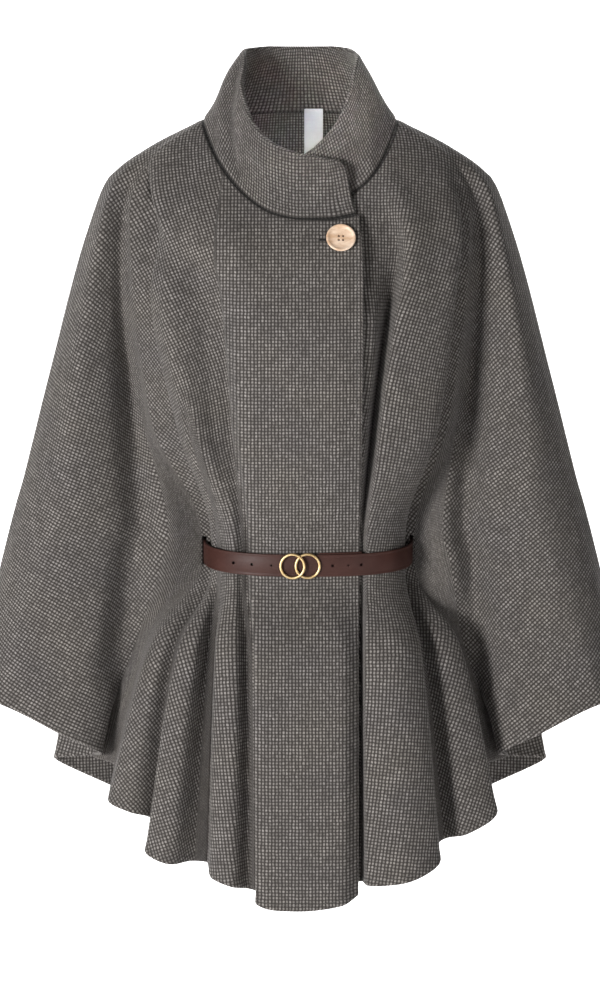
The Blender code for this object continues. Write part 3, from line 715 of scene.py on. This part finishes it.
def front_piece(name, folds, slit, side, pockets, upright, upright_until=None):
    """A front panel, with the grid, normals and half walls that it is made from."""
    steps = [ACROSS_STEPS] * (len(folds) - 1)
    steps[slit] = SLIT_STEPS
    extra = len(EDGE_ROWS) - 1
    grid = cloth_grid(folds, DOWN_STEPS, steps, EDGE_ROWS)
    normals = grid_normals(grid, side)
    from_hem = edge_distances(grid, 0, True, HEM_ROWS[-1])
    from_edge = edge_distances(grid, 1, False, HEM_ROWS[-1])
    half = HALF_WALL + hem_swell(from_hem) * ramp(from_edge, 0.0, 1.0)
    half = np.maximum(half, HALF_WALL + hem_swell(from_edge))
    half = np.minimum(half, HALF_WALL + HEM_SWELL)
    from_seam = seam_distances(grid, False)
    grid = grid - normals * (SEAM_SINK * seam_groove(from_seam, SEAM_ROLL))[..., None]
    # How near the seams: it darkens the cloth there as painted shade of the groove
    seam = seam_groove(from_seam, SEAM_SHADE)
    holes = slit_holes(slit, steps, extra)
    columns = fold_columns(steps, extra)
    deep = deepened(grid, columns, pockets)
    pattern = flat_pattern(deep, holes, columns[upright])
    if upright_until:
        last = (columns[upright_until] + columns[upright_until + 1]) // 2
        pattern = upright_grain(grid, pattern, belt_row(), last, columns[upright])
    obj = shell_object(name, grid, normals, half, pattern, side, holes, seam)
    return obj, grid, normals, half


def back_piece(name):
    folds = back_folds()
    steps = [ACROSS_STEPS] * (len(folds) - 1)
    grid = cloth_grid(folds, BACK_DOWN_STEPS, steps)
    normals = grid_normals(grid, 1.0)
    half = HALF_WALL + hem_swell(edge_distances(grid, 0, True, HEM_ROWS[-1]))
    pattern = flat_pattern(grid, (), grid.shape[1] // 2)
    from_seam = seam_distances(grid, True)
    grid = grid - normals * (SEAM_SINK * seam_groove(from_seam, SEAM_ROLL))[..., None]
    # The seam share darkens the cloth beside the seams as painted shade
    obj = shell_object(name, grid, normals, half, pattern, 1.0, seam=seam_groove(from_seam, SEAM_SHADE))
    return obj, grid, normals, half


def seam_groove(distance, width):
    """How near a seam each point is: 1 on it, falling off over the width."""
    return np.exp(-(distance / width) ** 2)


def seam_distances(grid, last_column):
    """Each point's distance from the neck seam, and from the shoulder seam above the chest."""
    neck = edge_distances(grid, 0, False)
    shoulder = edge_distances(grid, 1, True)
    away = ramp(neck, SHOULDER_SEAM_REACH - 40.0, SHOULDER_SEAM_REACH) * 50.0
    if last_column:
        shoulder = np.minimum(shoulder, edge_distances(grid, 1, False))
    return np.minimum(neck, shoulder + away)


def rounded_corner(grid, row_reach, column_reach, radius):
    """Moves the points near a grid's corner so that the corner is round."""
    a = np.clip(radius - row_reach, 0.0, radius)
    b = np.clip(radius - column_reach, 0.0, radius)
    far = np.maximum(np.hypot(a, b), 1e-6)
    keep = np.maximum(a, b) / far
    keep = np.where((a > 0) & (b > 0), keep, 1.0)
    return a * (1 - keep), b * (1 - keep)


def collar_piece(name):
    base = np.array([s[0] for s in COLLAR_STATIONS], float)
    top = np.array([s[1] for s in COLLAR_STATIONS], float)
    inward = base * (1.0, 1.0, 0.0)
    inward /= np.linalg.norm(inward, axis=1)[:, None]
    base -= inward * COLLAR_WALL / 2
    lines = []
    for rise, bulge in zip(COLLAR_RISE, COLLAR_BULGE):
        lines.append(base + (top - base) * rise + inward * bulge)
    steps = [COLLAR_STEPS] * (len(base) - 1)
    rows = [read_line(line, steps, COLLAR_END_ROWS, COLLAR_RIM_ROWS) for line in lines]
    columns = []
    for c in range(len(rows[0])):
        columns.append(read_line([row[c] for row in rows], (4, 4, 6, 6), NECK_ROWS, COLLAR_RIM_ROWS))
    grid = np.array(columns).transpose(1, 0, 2)[::-1]
    normals = grid_normals(grid, -1.0)
    rise = edge_distances(grid, 0, True)
    rise = rise / rise[0]
    station = np.interp(np.arange(grid.shape[1]), fold_columns(steps, len(COLLAR_END_ROWS) - 1),
                        np.arange(len(base)))
    for at_base, at_rim, width, height in COLLAR_RIDGES:
        middle = at_base + (at_rim - at_base) * rise
        swell = height * np.exp(-((station[None, :] - middle) / width) ** 2) * ramp(rise, 0.0, 0.35)
        grid = grid + normals * swell[..., None]
    normals = grid_normals(grid, -1.0)
    from_rim = edge_distances(grid, 0, False, COLLAR_RIM_ROWS[-1])
    from_start = edge_distances(grid, 1, False, COLLAR_RIM_ROWS[-1])
    from_end = edge_distances(grid, 1, True, COLLAR_RIM_ROWS[-1])
    swell = np.minimum(np.minimum(hem_swell(from_rim), hem_swell(from_start)), hem_swell(from_end))
    half = COLLAR_WALL / 2 + swell
    from_base = edge_distances(grid, 0, True)
    half -= COLLAR_BASE_THIN * seam_groove(from_base, SEAM_ROLL)
    along, up = rounded_corner(grid, from_rim, from_start, COLLAR_CORNER)
    step_across = np.gradient(grid, axis=1)
    step_across /= np.linalg.norm(step_across, axis=2)[..., None]
    step_down = np.gradient(grid, axis=0)
    step_down /= np.linalg.norm(step_down, axis=2)[..., None]
    grid = grid + step_across * up[..., None] + step_down * along[..., None]
    middle = grid.shape[0] // 2
    around = distances(grid[middle])
    pattern = np.stack((np.broadcast_to(around, from_base.shape), from_base), axis=2) * MM
    # The seam share darkens the collar's base as painted shade of the neck seam
    seam = seam_groove(from_base, SEAM_SHADE)
    obj = shell_object(name, grid, normals, half, pattern, -1.0, seam=seam)
    return obj, grid, normals, half


def rod_sections(centres, normals, binormals, radii, sides):
    """Rings of points round a line."""
    angles = np.linspace(0.0, 2 * math.pi, sides, endpoint=False)
    ring = np.cos(angles)[None, :, None] * binormals[:, None, :] * radii[:, None, None]
    ring = ring + np.sin(angles)[None, :, None] * normals[:, None, :] * radii[:, None, None]
    return centres[:, None, :] + ring


def stitches(name, runs):
    """Topstitching along each run of points and normals: short rods that dip at their ends."""
    sides = 6
    sections = 5
    verts = []
    faces = []
    arch = np.array((-1.0, 0.35, 0.9, 0.35, -1.0)) * THREAD_RADIUS
    slim = np.array((0.55, 0.95, 1.0, 0.95, 0.55)) * THREAD_RADIUS
    for points, normals in runs:
        reach = distances(points)
        start = STITCH_GAP
        while start + STITCH_LENGTH < reach[-1]:
            at = np.linspace(start, start + STITCH_LENGTH, sections)
            start += STITCH_LENGTH + STITCH_GAP
            line = np.stack([np.interp(at, reach, points[:, k]) for k in range(3)], axis=1)
            up = np.stack([np.interp(at, reach, normals[:, k]) for k in range(3)], axis=1)
            up /= np.linalg.norm(up, axis=1)[:, None]
            along = np.gradient(line, axis=0)
            across = np.cross(along, up)
            across /= np.linalg.norm(across, axis=1)[:, None]
            rings = rod_sections(line + up * arch[:, None], up, across, slim, sides)
            first = len(verts) * sides * sections
            verts.append(rings.reshape(-1, 3))
            for s in range(sections - 1):
                for k in range(sides):
                    m = (k + 1) % sides
                    a = first + s * sides
                    faces.append((a + k, a + sides + k, a + sides + m, a + m))
            faces.append(tuple(first + k for k in range(sides)))
            end = first + (sections - 1) * sides
            faces.append(tuple(end + k for k in reversed(range(sides))))
    return smooth_object(name, np.concatenate(verts), faces)


def on_surface(grid, normals, half, rows, columns, face=1.0):
    """Points on the wall's outer face, or its inner one, and their normals."""
    points = grid[rows, columns] + normals[rows, columns] * half[rows, columns][..., None] * face
    return points, normals[rows, columns] * face


def outward(obj, merge=0.0):
    """The object with its faces turned outwards, and points closer than merge made one."""
    bm = bmesh.new()
    bm.from_mesh(obj.data)
    if merge:
        bmesh.ops.remove_doubles(bm, verts=bm.verts, dist=merge)
    bmesh.ops.recalc_face_normals(bm, faces=bm.faces)
    bm.to_mesh(obj.data)
    bm.free()
    return obj


def lofted(name, rings, closed, capped=False):
    """A surface through rings of points; the rings join up when closed."""
    rings = np.asarray(rings, float)
    count, sides = rings.shape[:2]
    faces = []
    for i in range(count if closed else count - 1):
        j = (i + 1) % count
        for k in range(sides):
            m = (k + 1) % sides
            faces.append((i * sides + k, i * sides + m, j * sides + m, j * sides + k))
    if capped:
        faces.append(tuple(reversed(range(sides))))
        last = (count - 1) * sides
        faces.append(tuple(last + k for k in range(sides)))
    return outward(smooth_object(name, rings.reshape(-1, 3), faces))


def drill(obj, radius, depth, place, turn=(0.0, 0.0, 0.0)):
    """Cuts a round hole in a body, at a place in millimetres."""
    bpy.ops.mesh.primitive_cylinder_add(
        vertices=24, radius=radius * MM, depth=depth * MM,
        location=[c * MM for c in place], rotation=turn)
    cutter = bpy.context.object
    hole = obj.modifiers.new("hole", "BOOLEAN")
    hole.object = cutter
    hole.operation = "DIFFERENCE"
    bpy.context.view_layer.objects.active = obj
    bpy.ops.object.modifier_apply(modifier=hole.name)
    bpy.data.objects.remove(cutter)


def strap_section(height, wall, corner, crease):
    """A strap's cross-section from its middle: how far out and how high each point is."""
    outer = []
    half = height / 2
    for k in range(4):
        angle = math.pi / 2 * k / 3
        outer.append((-corner + corner * math.sin(angle), half - corner + corner * math.cos(angle)))
    outer += [(0.0, half - 2.3), (-crease, half - 2.9), (0.0, half - 3.5), (0.15, 0.0)]
    lower = [(x, -z) for x, z in outer[:-1]][::-1]
    front = outer + lower
    back = [(-wall - x, z) for x, z in outer[:4]]
    under = [(x, -z) for x, z in back]
    return front + under + back[::-1]


def belt_piece(name):
    """The closed strap, with rounded burnished edges and a crease line along each."""
    angles = even_angles(0.0, 300)
    outer = np.array(waist_path(0.0, angles))
    inner = np.array(waist_path(BELT_WALL, angles))
    out = outer - inner
    out /= np.linalg.norm(out, axis=1)[:, None]
    profile = strap_section(BELT_HEIGHT, BELT_WALL, 0.8, 0.25)
    rings = []
    for (x, y), (nx, ny) in zip(outer, out):
        middle = strap_height(y)
        rings.append([(x + nx * d, y + ny * d, middle + z) for d, z in profile])
    belt = lofted(name, rings, True)
    for i, x in enumerate(BELT_HOLES_X):
        radius = BELT_HOLE_RADIUS * (SMALL_HOLE_SHARE if i in SMALL_HOLES else 1.0)
        y = belt_depth(x, 0.0)
        drill(belt, radius, 12.0, (x, y, strap_height(y)), (math.pi / 2, 0, 0))
    belt.data.set_sharp_from_angle(angle=math.radians(55.0))
    return belt


def tail_piece(name):
    outer = BELT_WALL + PIECE_GAP
    profile = strap_section(BELT_HEIGHT, TAIL_WALL, 0.6, 0.2)
    rings = []
    for x in np.linspace(TAIL_FROM_X, TAIL_TO_X, 40):
        y = belt_depth(x, outer)
        middle = strap_height(y) + TAIL_RISE
        rings.append([(x, y - d, middle + z) for d, z in profile])
    return lofted(name, rings, False, capped=True)


def ring_rings(centre, lean, front):
    major = RING_RADIUS - RING_WIRE
    rings = []
    for a in np.linspace(0.0, 2 * math.pi, 96, endpoint=False):
        out = np.array((math.cos(a), 0.0, math.sin(a)))
        forward = np.array((0.0, -1.0, 0.0))
        middle = centre + out * major + forward * (front + lean * math.cos(a))
        ring = []
        for b in np.linspace(0.0, 2 * math.pi, 20, endpoint=False):
            ring.append(middle + (out * math.cos(b) + forward * math.sin(b)) * RING_WIRE)
        rings.append(ring)
    return rings


def buckle_piece(name):
    """Two linked rings: the one at the wearer's right lies over the other where they cross."""
    y = -BELT_HALF_DEPTH - PIECE_GAP - RING_WIRE
    parts = []
    for side, lean in ((-0.5, 1.3), (0.5, 0.0)):
        centre = np.array((RING_X + side * RING_SPACING, y, RING_Z))
        parts.append(lofted(name, ring_rings(centre, lean, lean), True))
    bpy.ops.object.select_all(action="DESELECT")
    for part in parts:
        part.select_set(True)
    bpy.context.view_layer.objects.active = parts[0]
    bpy.ops.object.join()
    return parts[0]


def turned(name, profile, steps):
    """A turned body from a profile of radius and height, about Z."""
    rings = []
    for a in np.linspace(0.0, 2 * math.pi, steps, endpoint=False):
        rings.append([(r * math.cos(a), r * math.sin(a), z) for r, z in profile])
    return outward(lofted(name, rings, True), MERGE)


def button_place(front):
    """Point and normal of the right front under the button's box, and the front's search tree."""
    low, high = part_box("button")
    centre = (low + high) / 2
    graph = bpy.context.evaluated_depsgraph_get()
    tree = BVHTree.FromObject(front, graph)
    seat, normal, _, _ = tree.ray_cast(Vector((centre.x, -0.2, centre.z)), Vector((0.0, 1.0, 0.0)))
    return seat, normal, tree


def button_piece(name, seat, normal):
    """A dished button with a rounded rim and four holes, set on the cloth."""
    r = BUTTON_RADIUS
    t = BUTTON_THICKNESS
    profile = [(0.0, 0.0), (r * 0.55, 0.0), (r * 0.8, t * 0.14), (r * 0.93, t * 0.36),
               (r * 0.985, t * 0.58), (r, t * 0.72), (r * 0.992, t * 0.86), (r * 0.965, t * 0.96),
               (r * 0.93, t), (r * 0.885, t * 0.985), (r * 0.84, t * 0.92), (r * 0.78, t * 0.8),
               (r * 0.7, t * 0.7), (r * 0.58, t * 0.63), (r * 0.4, t * 0.6), (0.0, t * 0.58)]
    fine = read_line([(a, 0.0, b) for a, b in profile], [3] * (len(profile) - 1))
    button = turned(name, [(max(p[0], 0.0), p[2]) for p in fine], 96)
    for i in range(4):
        a = math.radians(45 + 90 * i)
        place = (BUTTON_HOLE_STEP * math.cos(a), BUTTON_HOLE_STEP * math.sin(a), 0.0)
        drill(button, BUTTON_HOLE_RADIUS, 20.0, place)
    button.data.set_sharp_from_angle(angle=math.radians(50.0))
    button.location = seat + normal * BUTTON_SEAT * MM
    button.rotation_euler = normal.to_track_quat("Z", "Y").to_euler()
    return button


def label_piece(name):
    """A bare satin label, sewn in by its top edge, with a slight curl."""
    rows = []
    for down in np.linspace(0.0, 1.0, 22):
        z = LABEL_TOP - LABEL_LENGTH * down
        y = LABEL_Y + LABEL_LENGTH * down * math.tan(math.radians(LABEL_LEAN))
        y += 0.7 * math.sin(down * math.pi * 1.3)
        row = []
        for side in np.linspace(-0.5, 0.5, 9):
            x = LABEL_X + side * LABEL_WIDTH * math.cos(math.radians(LABEL_TURN))
            row.append((x, y + side * LABEL_WIDTH * math.sin(math.radians(LABEL_TURN)), z))
        rows.append(row)
    grid = np.array(rows)
    normals = grid_normals(grid, -1.0)
    half = np.full(grid.shape[:2], LABEL_WALL / 2)
    across = edge_distances(grid, 1, False)
    down = edge_distances(grid, 0, False)
    pattern = np.stack((across, down), axis=2) * MM
    return shell_object(name, grid, normals, half, pattern, -1.0)


def add(tree, kind, inputs=(), **settings):
    """Adds a node; an input that is a socket is linked, and any other is set."""
    node = tree.nodes.new(kind)
    for key, value in settings.items():
        setattr(node, key, value)
    for key, value in dict(inputs).items():
        if isinstance(value, bpy.types.NodeSocket):
            tree.links.new(value, node.inputs[key])
        else:
            node.inputs[key].default_value = value
    return node


def math_of(tree, operation, *inputs, clamp=False):
    settings = {"operation": operation, "use_clamp": clamp}
    return add(tree, "ShaderNodeMath", enumerate(inputs), **settings).outputs[0]


def vector_of(tree, operation, *inputs):
    return add(tree, "ShaderNodeVectorMath", enumerate(inputs), operation=operation).outputs[0]


def noise_of(tree, vector, scale, detail=2.0, roughness=0.5):
    inputs = {"Vector": vector, "Scale": scale, "Detail": detail, "Roughness": roughness}
    return add(tree, "ShaderNodeTexNoise", inputs).outputs["Fac"]


def ramp_of(tree, value, low, high, out_low=0.0, out_high=1.0):
    inputs = {"Value": value, "From Min": low, "From Max": high, "To Min": out_low, "To Max": out_high}
    return add(tree, "ShaderNodeMapRange", inputs, clamp=True).outputs[0]


def mix_of(tree, share, a, b, blend="MIX"):
    """Colour b over a, each a socket or red, green and blue."""
    a, b = [(*colour, 1.0) if isinstance(colour, tuple) else colour for colour in (a, b)]
    node = add(tree, "ShaderNodeMix", {0: share, 6: a, 7: b}, data_type="RGBA", blend_type=blend)
    return node.outputs[2]


def clouded(tree, texture, low, high, a, b, most=1.0):
    """Colour b over a where a texture rises from low to high, up to the share most."""
    return mix_of(tree, ramp_of(tree, texture, low, high, 0.0, most), a, b)


def new_material(name, roughness, **sockets):
    """A material whose shader's sockets are set by name, with _ for a space."""
    mat = bpy.data.materials.new(name)
    mat.use_nodes = True
    shader = mat.node_tree.nodes["Principled BSDF"]
    shader.inputs["Roughness"].default_value = roughness
    for key, value in sockets.items():
        shader.inputs[key.replace("_", " ")].default_value = value
    return mat, mat.node_tree


def object_place(tree):
    return add(tree, "ShaderNodeTexCoord").outputs["Object"]


def pattern_place(tree):
    """The attribute of the cloth: metres across and down, and how near a seam it is, for the painted seam
    shade.
    """
    return add(tree, "ShaderNodeAttribute", attribute_name="pattern").outputs["Vector"]


def link_shader(tree, colour, height=None, strength=0.0, distance=0.0, rough=None):
    """Links a colour to the shader, and a bump from a height and a roughness where given."""
    shader = tree.nodes["Principled BSDF"]
    tree.links.new(colour, shader.inputs["Base Color"])
    if height is not None:
        bump = add(tree, "ShaderNodeBump", {"Height": height, "Strength": strength, "Distance": distance})
        tree.links.new(bump.outputs[0], shader.inputs["Normal"])
    if rough is not None:
        tree.links.new(rough, shader.inputs["Roughness"])


def wool_material(name):
    """Square weave of light dots on a dark ground, with a napped, faintly shining surface."""
    mat, tree = new_material(name, 0.92, Specular_IOR_Level=0.25, Sheen_Weight=0.22,
                             Sheen_Roughness=0.45, Sheen_Tint=(0.78, 0.74, 0.71, 1.0))
    place = pattern_place(tree)
    wander = add(tree, "ShaderNodeTexNoise", {"Vector": place, "Scale": 170.0, "Detail": 1.0})
    offset = vector_of(tree, "SUBTRACT", wander.outputs["Color"], (0.5, 0.5, 0.5))
    moved = vector_of(tree, "MULTIPLY_ADD", offset, (WEAVE_WANDER, WEAVE_WANDER, 0.0), place)
    scaled = vector_of(tree, "MULTIPLY", moved, (1.0 / WEAVE_PITCH,) * 3)
    parts = add(tree, "ShaderNodeSeparateXYZ", {0: scaled})
    waves = []
    for axis in (0, 1):
        turn = math_of(tree, "MULTIPLY", parts.outputs[axis], 2 * math.pi)
        wave = math_of(tree, "COSINE", turn)
        waves.append(math_of(tree, "MULTIPLY_ADD", wave, 0.5, 0.5))
    across = math_of(tree, "POWER", waves[0], 1.1)
    down = ramp_of(tree, waves[1], 0.0, 0.95, 0.14, 1.0)
    dot = ramp_of(tree, math_of(tree, "MULTIPLY", across, down), 0.06, 0.62)
    cell = vector_of(tree, "FLOOR", vector_of(tree, "ADD", scaled, (0.5, 0.5, 0.5)))
    chance = add(tree, "ShaderNodeTexWhiteNoise", {"Vector": cell}, noise_dimensions="3D")
    lit = ramp_of(tree, chance.outputs["Value"], 0.0, 1.0, 0.5, 1.0)
    patchy = noise_of(tree, place, 60.0, 3.0, 0.6)
    lit = math_of(tree, "MULTIPLY", lit, ramp_of(tree, patchy, 0.3, 0.7, 0.7, 1.15))
    lit = math_of(tree, "MULTIPLY", dot, lit, clamp=True)
    colour = mix_of(tree, lit, WEAVE_GROUND, WEAVE_LIGHT)
    fibre = noise_of(tree, place, 2600.0, 3.0, 0.7)
    tone = ramp_of(tree, fibre, 0.3, 0.7, 0.82, 1.18)
    grey = add(tree, "ShaderNodeCombineColor", {0: tone, 1: tone, 2: tone}).outputs[0]
    colour = mix_of(tree, 1.0, colour, grey, "MULTIPLY")
    melange = clouded(tree, noise_of(tree, place, 14.0), 0.3, 0.7, (0.95, 0.95, 0.97), (1.04, 1.03, 1.0))
    colour = mix_of(tree, 1.0, colour, melange, "MULTIPLY")
    # Painted shade: the weave darkens to near black beside the neck and shoulder seams, in the groove's
    # shade
    seam = add(tree, "ShaderNodeSeparateXYZ", {0: place}).outputs[2]
    colour = clouded(tree, seam, 0.15, 0.6, colour, PAINTED_SEAM_SHADE, 0.92)
    fuzz = noise_of(tree, place, 1500.0, 2.0, 0.6)
    height = math_of(tree, "MULTIPLY_ADD", fuzz, 0.35, lit)
    link_shader(tree, colour, height, 0.7, 0.0006)
    return mat


def leather_material():
    """Smooth dark brown leather, faintly clouded, with a fine grain."""
    mat, tree = new_material("belt_leather", 0.42, Specular_IOR_Level=0.22, Coat_Weight=0.04,
                             Coat_Roughness=0.35)
    place = object_place(tree)
    cloud = noise_of(tree, place, 28.0, 4.0, 0.6)
    colour = clouded(tree, cloud, 0.3, 0.7, (0.035, 0.0122, 0.0090), (0.051, 0.0190, 0.0142))
    pores = add(tree, "ShaderNodeTexVoronoi", {"Vector": place, "Scale": 1500.0}).outputs["Distance"]
    speck = noise_of(tree, place, 420.0, 3.0, 0.7)
    colour = clouded(tree, speck, 0.55, 0.8, colour, (0.040, 0.015, 0.011), 0.35)
    rough = ramp_of(tree, speck, 0.3, 0.7, 0.46, 0.6)
    grain = math_of(tree, "ADD", ramp_of(tree, pores, 0.0, 0.5), ramp_of(tree, speck, 0.2, 0.8))
    link_shader(tree, colour, grain, 0.25, 0.0002, rough)
    return mat


def brass_material():
    """Pale brass, faintly clouded, with a fine uneven polish."""
    mat, tree = new_material("ring_brass", 0.3, Metallic=1.0)
    place = object_place(tree)
    cloud = noise_of(tree, place, 180.0, 3.0, 0.6)
    colour = clouded(tree, cloud, 0.3, 0.7, (0.62, 0.43, 0.20), (0.78, 0.59, 0.33))
    fine = noise_of(tree, place, 1600.0, 2.0, 0.6)
    link_shader(tree, colour, fine, 0.12, 0.0001, ramp_of(tree, fine, 0.3, 0.7, 0.34, 0.5))
    return mat


def horn_material():
    """Pale horn, clouded from cream to tan, with a soft polish."""
    mat, tree = new_material("button_horn", 0.33, Specular_IOR_Level=0.45, Coat_Weight=0.2,
                             Coat_Roughness=0.25)
    stretch = {"Vector": object_place(tree), "Scale": (1.0, 1.9, 1.0), "Rotation": (0.0, 0.0, 0.6)}
    place = add(tree, "ShaderNodeMapping", stretch).outputs[0]
    cloud = noise_of(tree, place, 70.0, 3.0, 0.55)
    colour = clouded(tree, cloud, 0.38, 0.68, (0.60, 0.39, 0.245), (0.84, 0.655, 0.505))
    streak = noise_of(tree, place, 160.0, 4.0, 0.6)
    colour = clouded(tree, streak, 0.6, 0.8, colour, (0.42, 0.24, 0.12), 0.5)
    link_shader(tree, colour, streak, 0.08, 0.0002)
    return mat


def satin_material():
    """Pale satin ribbon with fine lengthwise ribs."""
    mat, tree = new_material("label_satin", 0.42, Sheen_Weight=0.2)
    place = pattern_place(tree)
    parts = add(tree, "ShaderNodeSeparateXYZ", {0: place})
    ribs = math_of(tree, "SINE", math_of(tree, "MULTIPLY", parts.outputs[0], 2 * math.pi / RIB_PITCH))
    colour = clouded(tree, ribs, -1.0, 1.0, (0.78, 0.78, 0.84), (0.92, 0.91, 0.96))
    speck = noise_of(tree, place, 900.0, 2.0, 0.6)
    colour = clouded(tree, speck, 0.4, 0.8, colour, (0.68, 0.68, 0.74), 0.3)
    link_shader(tree, colour, ribs, 0.15, 0.0001)
    return mat


def thread_material(name, colour):
    mat, tree = new_material(name, 0.75)
    twist = noise_of(tree, object_place(tree), 2500.0, 2.0, 0.6)
    link_shader(tree, mix_of(tree, twist, tuple(c * 0.6 for c in colour), colour))
    return mat


def dress(obj, mat, slot, *nodes):
    """Gives a piece its material and the body root, and hides the node that it replaces, if any; its slot
    is not used.
    """
    obj.data.materials.clear()
    obj.data.materials.append(mat)
    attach(obj, "root")
    if nodes:
        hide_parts(*nodes)
    return obj


def floor_material():
    mat, tree = new_material("floor", 0.8)
    cloud = noise_of(tree, object_place(tree), 0.7)
    link_shader(tree, mix_of(tree, cloud, FLOOR_COLOUR, tuple(c * 0.985 for c in FLOOR_COLOUR)))
    return mat


def stage():
    """A pale floor that sweeps up behind, a camera at the photograph's angle and soft lights."""
    profile = [(FLOOR_FRONT_Y, FLOOR_Z)]
    for k in range(SWEEP_STEPS + 1):
        angle = math.pi / 2 * k / SWEEP_STEPS
        profile.append((SWEEP_Y - SWEEP_RADIUS + SWEEP_RADIUS * math.sin(angle),
                        FLOOR_Z + SWEEP_RADIUS - SWEEP_RADIUS * math.cos(angle)))
    profile.append((SWEEP_Y, SWEEP_TOP))
    verts = [(x, y, z) for y, z in profile for x in (-SWEEP_HALF_WIDTH, SWEEP_HALF_WIDTH)]
    faces = [(2 * i, 2 * i + 1, 2 * i + 3, 2 * i + 2) for i in range(len(profile) - 1)]
    mesh = bpy.data.meshes.new("floor")
    mesh.from_pydata(verts, [], faces)
    mesh.shade_smooth()
    floor = linked("floor", mesh)
    mesh.materials.append(floor_material())
    camera_data = bpy.data.cameras.new("camera")
    camera_data.lens = CAMERA_LENS
    camera_data.sensor_width = SENSOR
    camera_data.sensor_fit = "AUTO"
    camera = linked("camera", camera_data)
    camera.location = (0.0, CAMERA_Y, CAMERA_Z)
    camera.rotation_euler = (math.radians(90.0 - CAMERA_TILT), 0.0, 0.0)
    bpy.context.scene.camera = camera
    bpy.context.scene.view_settings.view_transform = "Standard"
    world = bpy.data.worlds.new("studio")
    world.use_nodes = True
    background = world.node_tree.nodes["Background"]
    background.inputs[0].default_value = (1.0, 1.0, 1.0, 1.0)
    background.inputs[1].default_value = WORLD_LIGHT
    bpy.context.scene.world = world
    for name, place, aim, size, power, spread in LIGHTS:
        data = bpy.data.lights.new(name, "AREA")
        data.shape = "RECTANGLE"
        data.size, data.size_y = size
        data.energy = power
        data.spread = math.radians(spread)
        lamp = linked(name, data)
        lamp.location = place
        lamp.rotation_euler = (Vector(aim) - Vector(place)).to_track_quat("-Z", "Y").to_euler()


def hem_runs(grid, normals, half):
    """The line of a panel's hem topstitching."""
    every = np.arange(grid.shape[1])
    rows = np.full(len(every), grid.shape[0] - len(HEM_ROWS) + HEM_ROWS.index(STITCH_INSET))
    return [on_surface(grid, normals, half, rows, every)]


def buttonhole_piece(name, tree, seat):
    """The end of the worked buttonhole beside the button: a slot in close stitches, all near black as
    painted shade of the slit.
    """
    left = seat.x / MM - BUTTON_RADIUS - BUTTONHOLE_SHOWS
    right = seat.x / MM - BUTTON_RADIUS * 0.6
    rings = []
    for x in np.linspace(left, right, 28):
        rise = BUTTONHOLE_HALF * min((x - left) / 1.2 + 0.25, 1.0)
        ring = []
        for k in range(BUTTONHOLE_SIDES):
            angle = 2 * math.pi * k / BUTTONHOLE_SIDES
            z = seat.z / MM + BUTTONHOLE_RAISED + rise * math.cos(angle)
            point, _, _, _ = tree.ray_cast(Vector((x, -200.0, z)) * MM, Vector((0.0, 1.0, 0.0)))
            ring.append((x, point.y / MM - BUTTONHOLE_PROUD * math.sin(angle), z))
        rings.append(ring)
    return lofted(name, rings, False, capped=True)


def main():
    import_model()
    wool = wool_material("wool_weave")
    leather = leather_material()
    brass = brass_material()
    horn = horn_material()
    satin = satin_material()
    thread = thread_material("wool_thread", THREAD_COLOUR)
    folds, slit = front_right_folds()
    right, grid, normals, half = front_piece("front_right_cloth", folds, slit, 1.0, RIGHT_POCKETS, 2,
                                             UPRIGHT_UNTIL)
    dress(right, wool, "wool", "front_right")
    runs = hem_runs(grid, normals, half)
    columns = np.arange(grid.shape[0] - len(HEM_ROWS))
    edge_column = EDGE_ROWS.index(STITCH_INSET)
    runs.append(on_surface(grid, normals, half, columns, np.full(len(columns), edge_column)))
    dress(stitches("front_right_topstitch", runs), thread, "wool")
    folds, slit = front_left_folds()
    left, grid, normals, half = front_piece("front_left_cloth", folds, slit, -1.0, LEFT_POCKETS, 1)
    dress(left, wool, "wool", "front_left")
    dress(stitches("front_left_topstitch", hem_runs(grid, normals, half)), thread, "wool")
    back, grid, normals, half = back_piece("back_cloth")
    dress(back, wool, "wool", "back")
    dress(stitches("back_topstitch", hem_runs(grid, normals, half)), thread, "wool")
    collar, grid, normals, half = collar_piece("collar_cloth")
    dress(collar, wool, "wool", "collar")
    every = np.arange(grid.shape[1])
    rows = np.full(len(every), COLLAR_END_ROWS.index(STITCH_INSET))
    runs = [on_surface(grid, normals, half, rows, every, face) for face in (1.0, -1.0)]
    dress(stitches("collar_topstitch", runs), thread, "wool")
    dress(belt_piece("belt_leather"), leather, "leather", "belt_strap")
    dress(tail_piece("belt_tail_leather"), leather, "leather", "belt_tail")
    dress(buckle_piece("buckle_brass"), brass, "brass", "buckle_rings")
    seat, normal, tree = button_place(right)
    dress(button_piece("button_horn", seat, normal), horn, "horn", "button")
    # The slot is drawn near black as painted shade of the slit
    dark = thread_material("buttonhole_slit_shade", BUTTONHOLE_SHADE_COLOUR)
    dress(buttonhole_piece("buttonhole_slot", tree, seat), dark, "wool")
    label = label_piece("neck_label_satin")
    dress(label, satin, "satin", "neck_label")
    stage()


main()
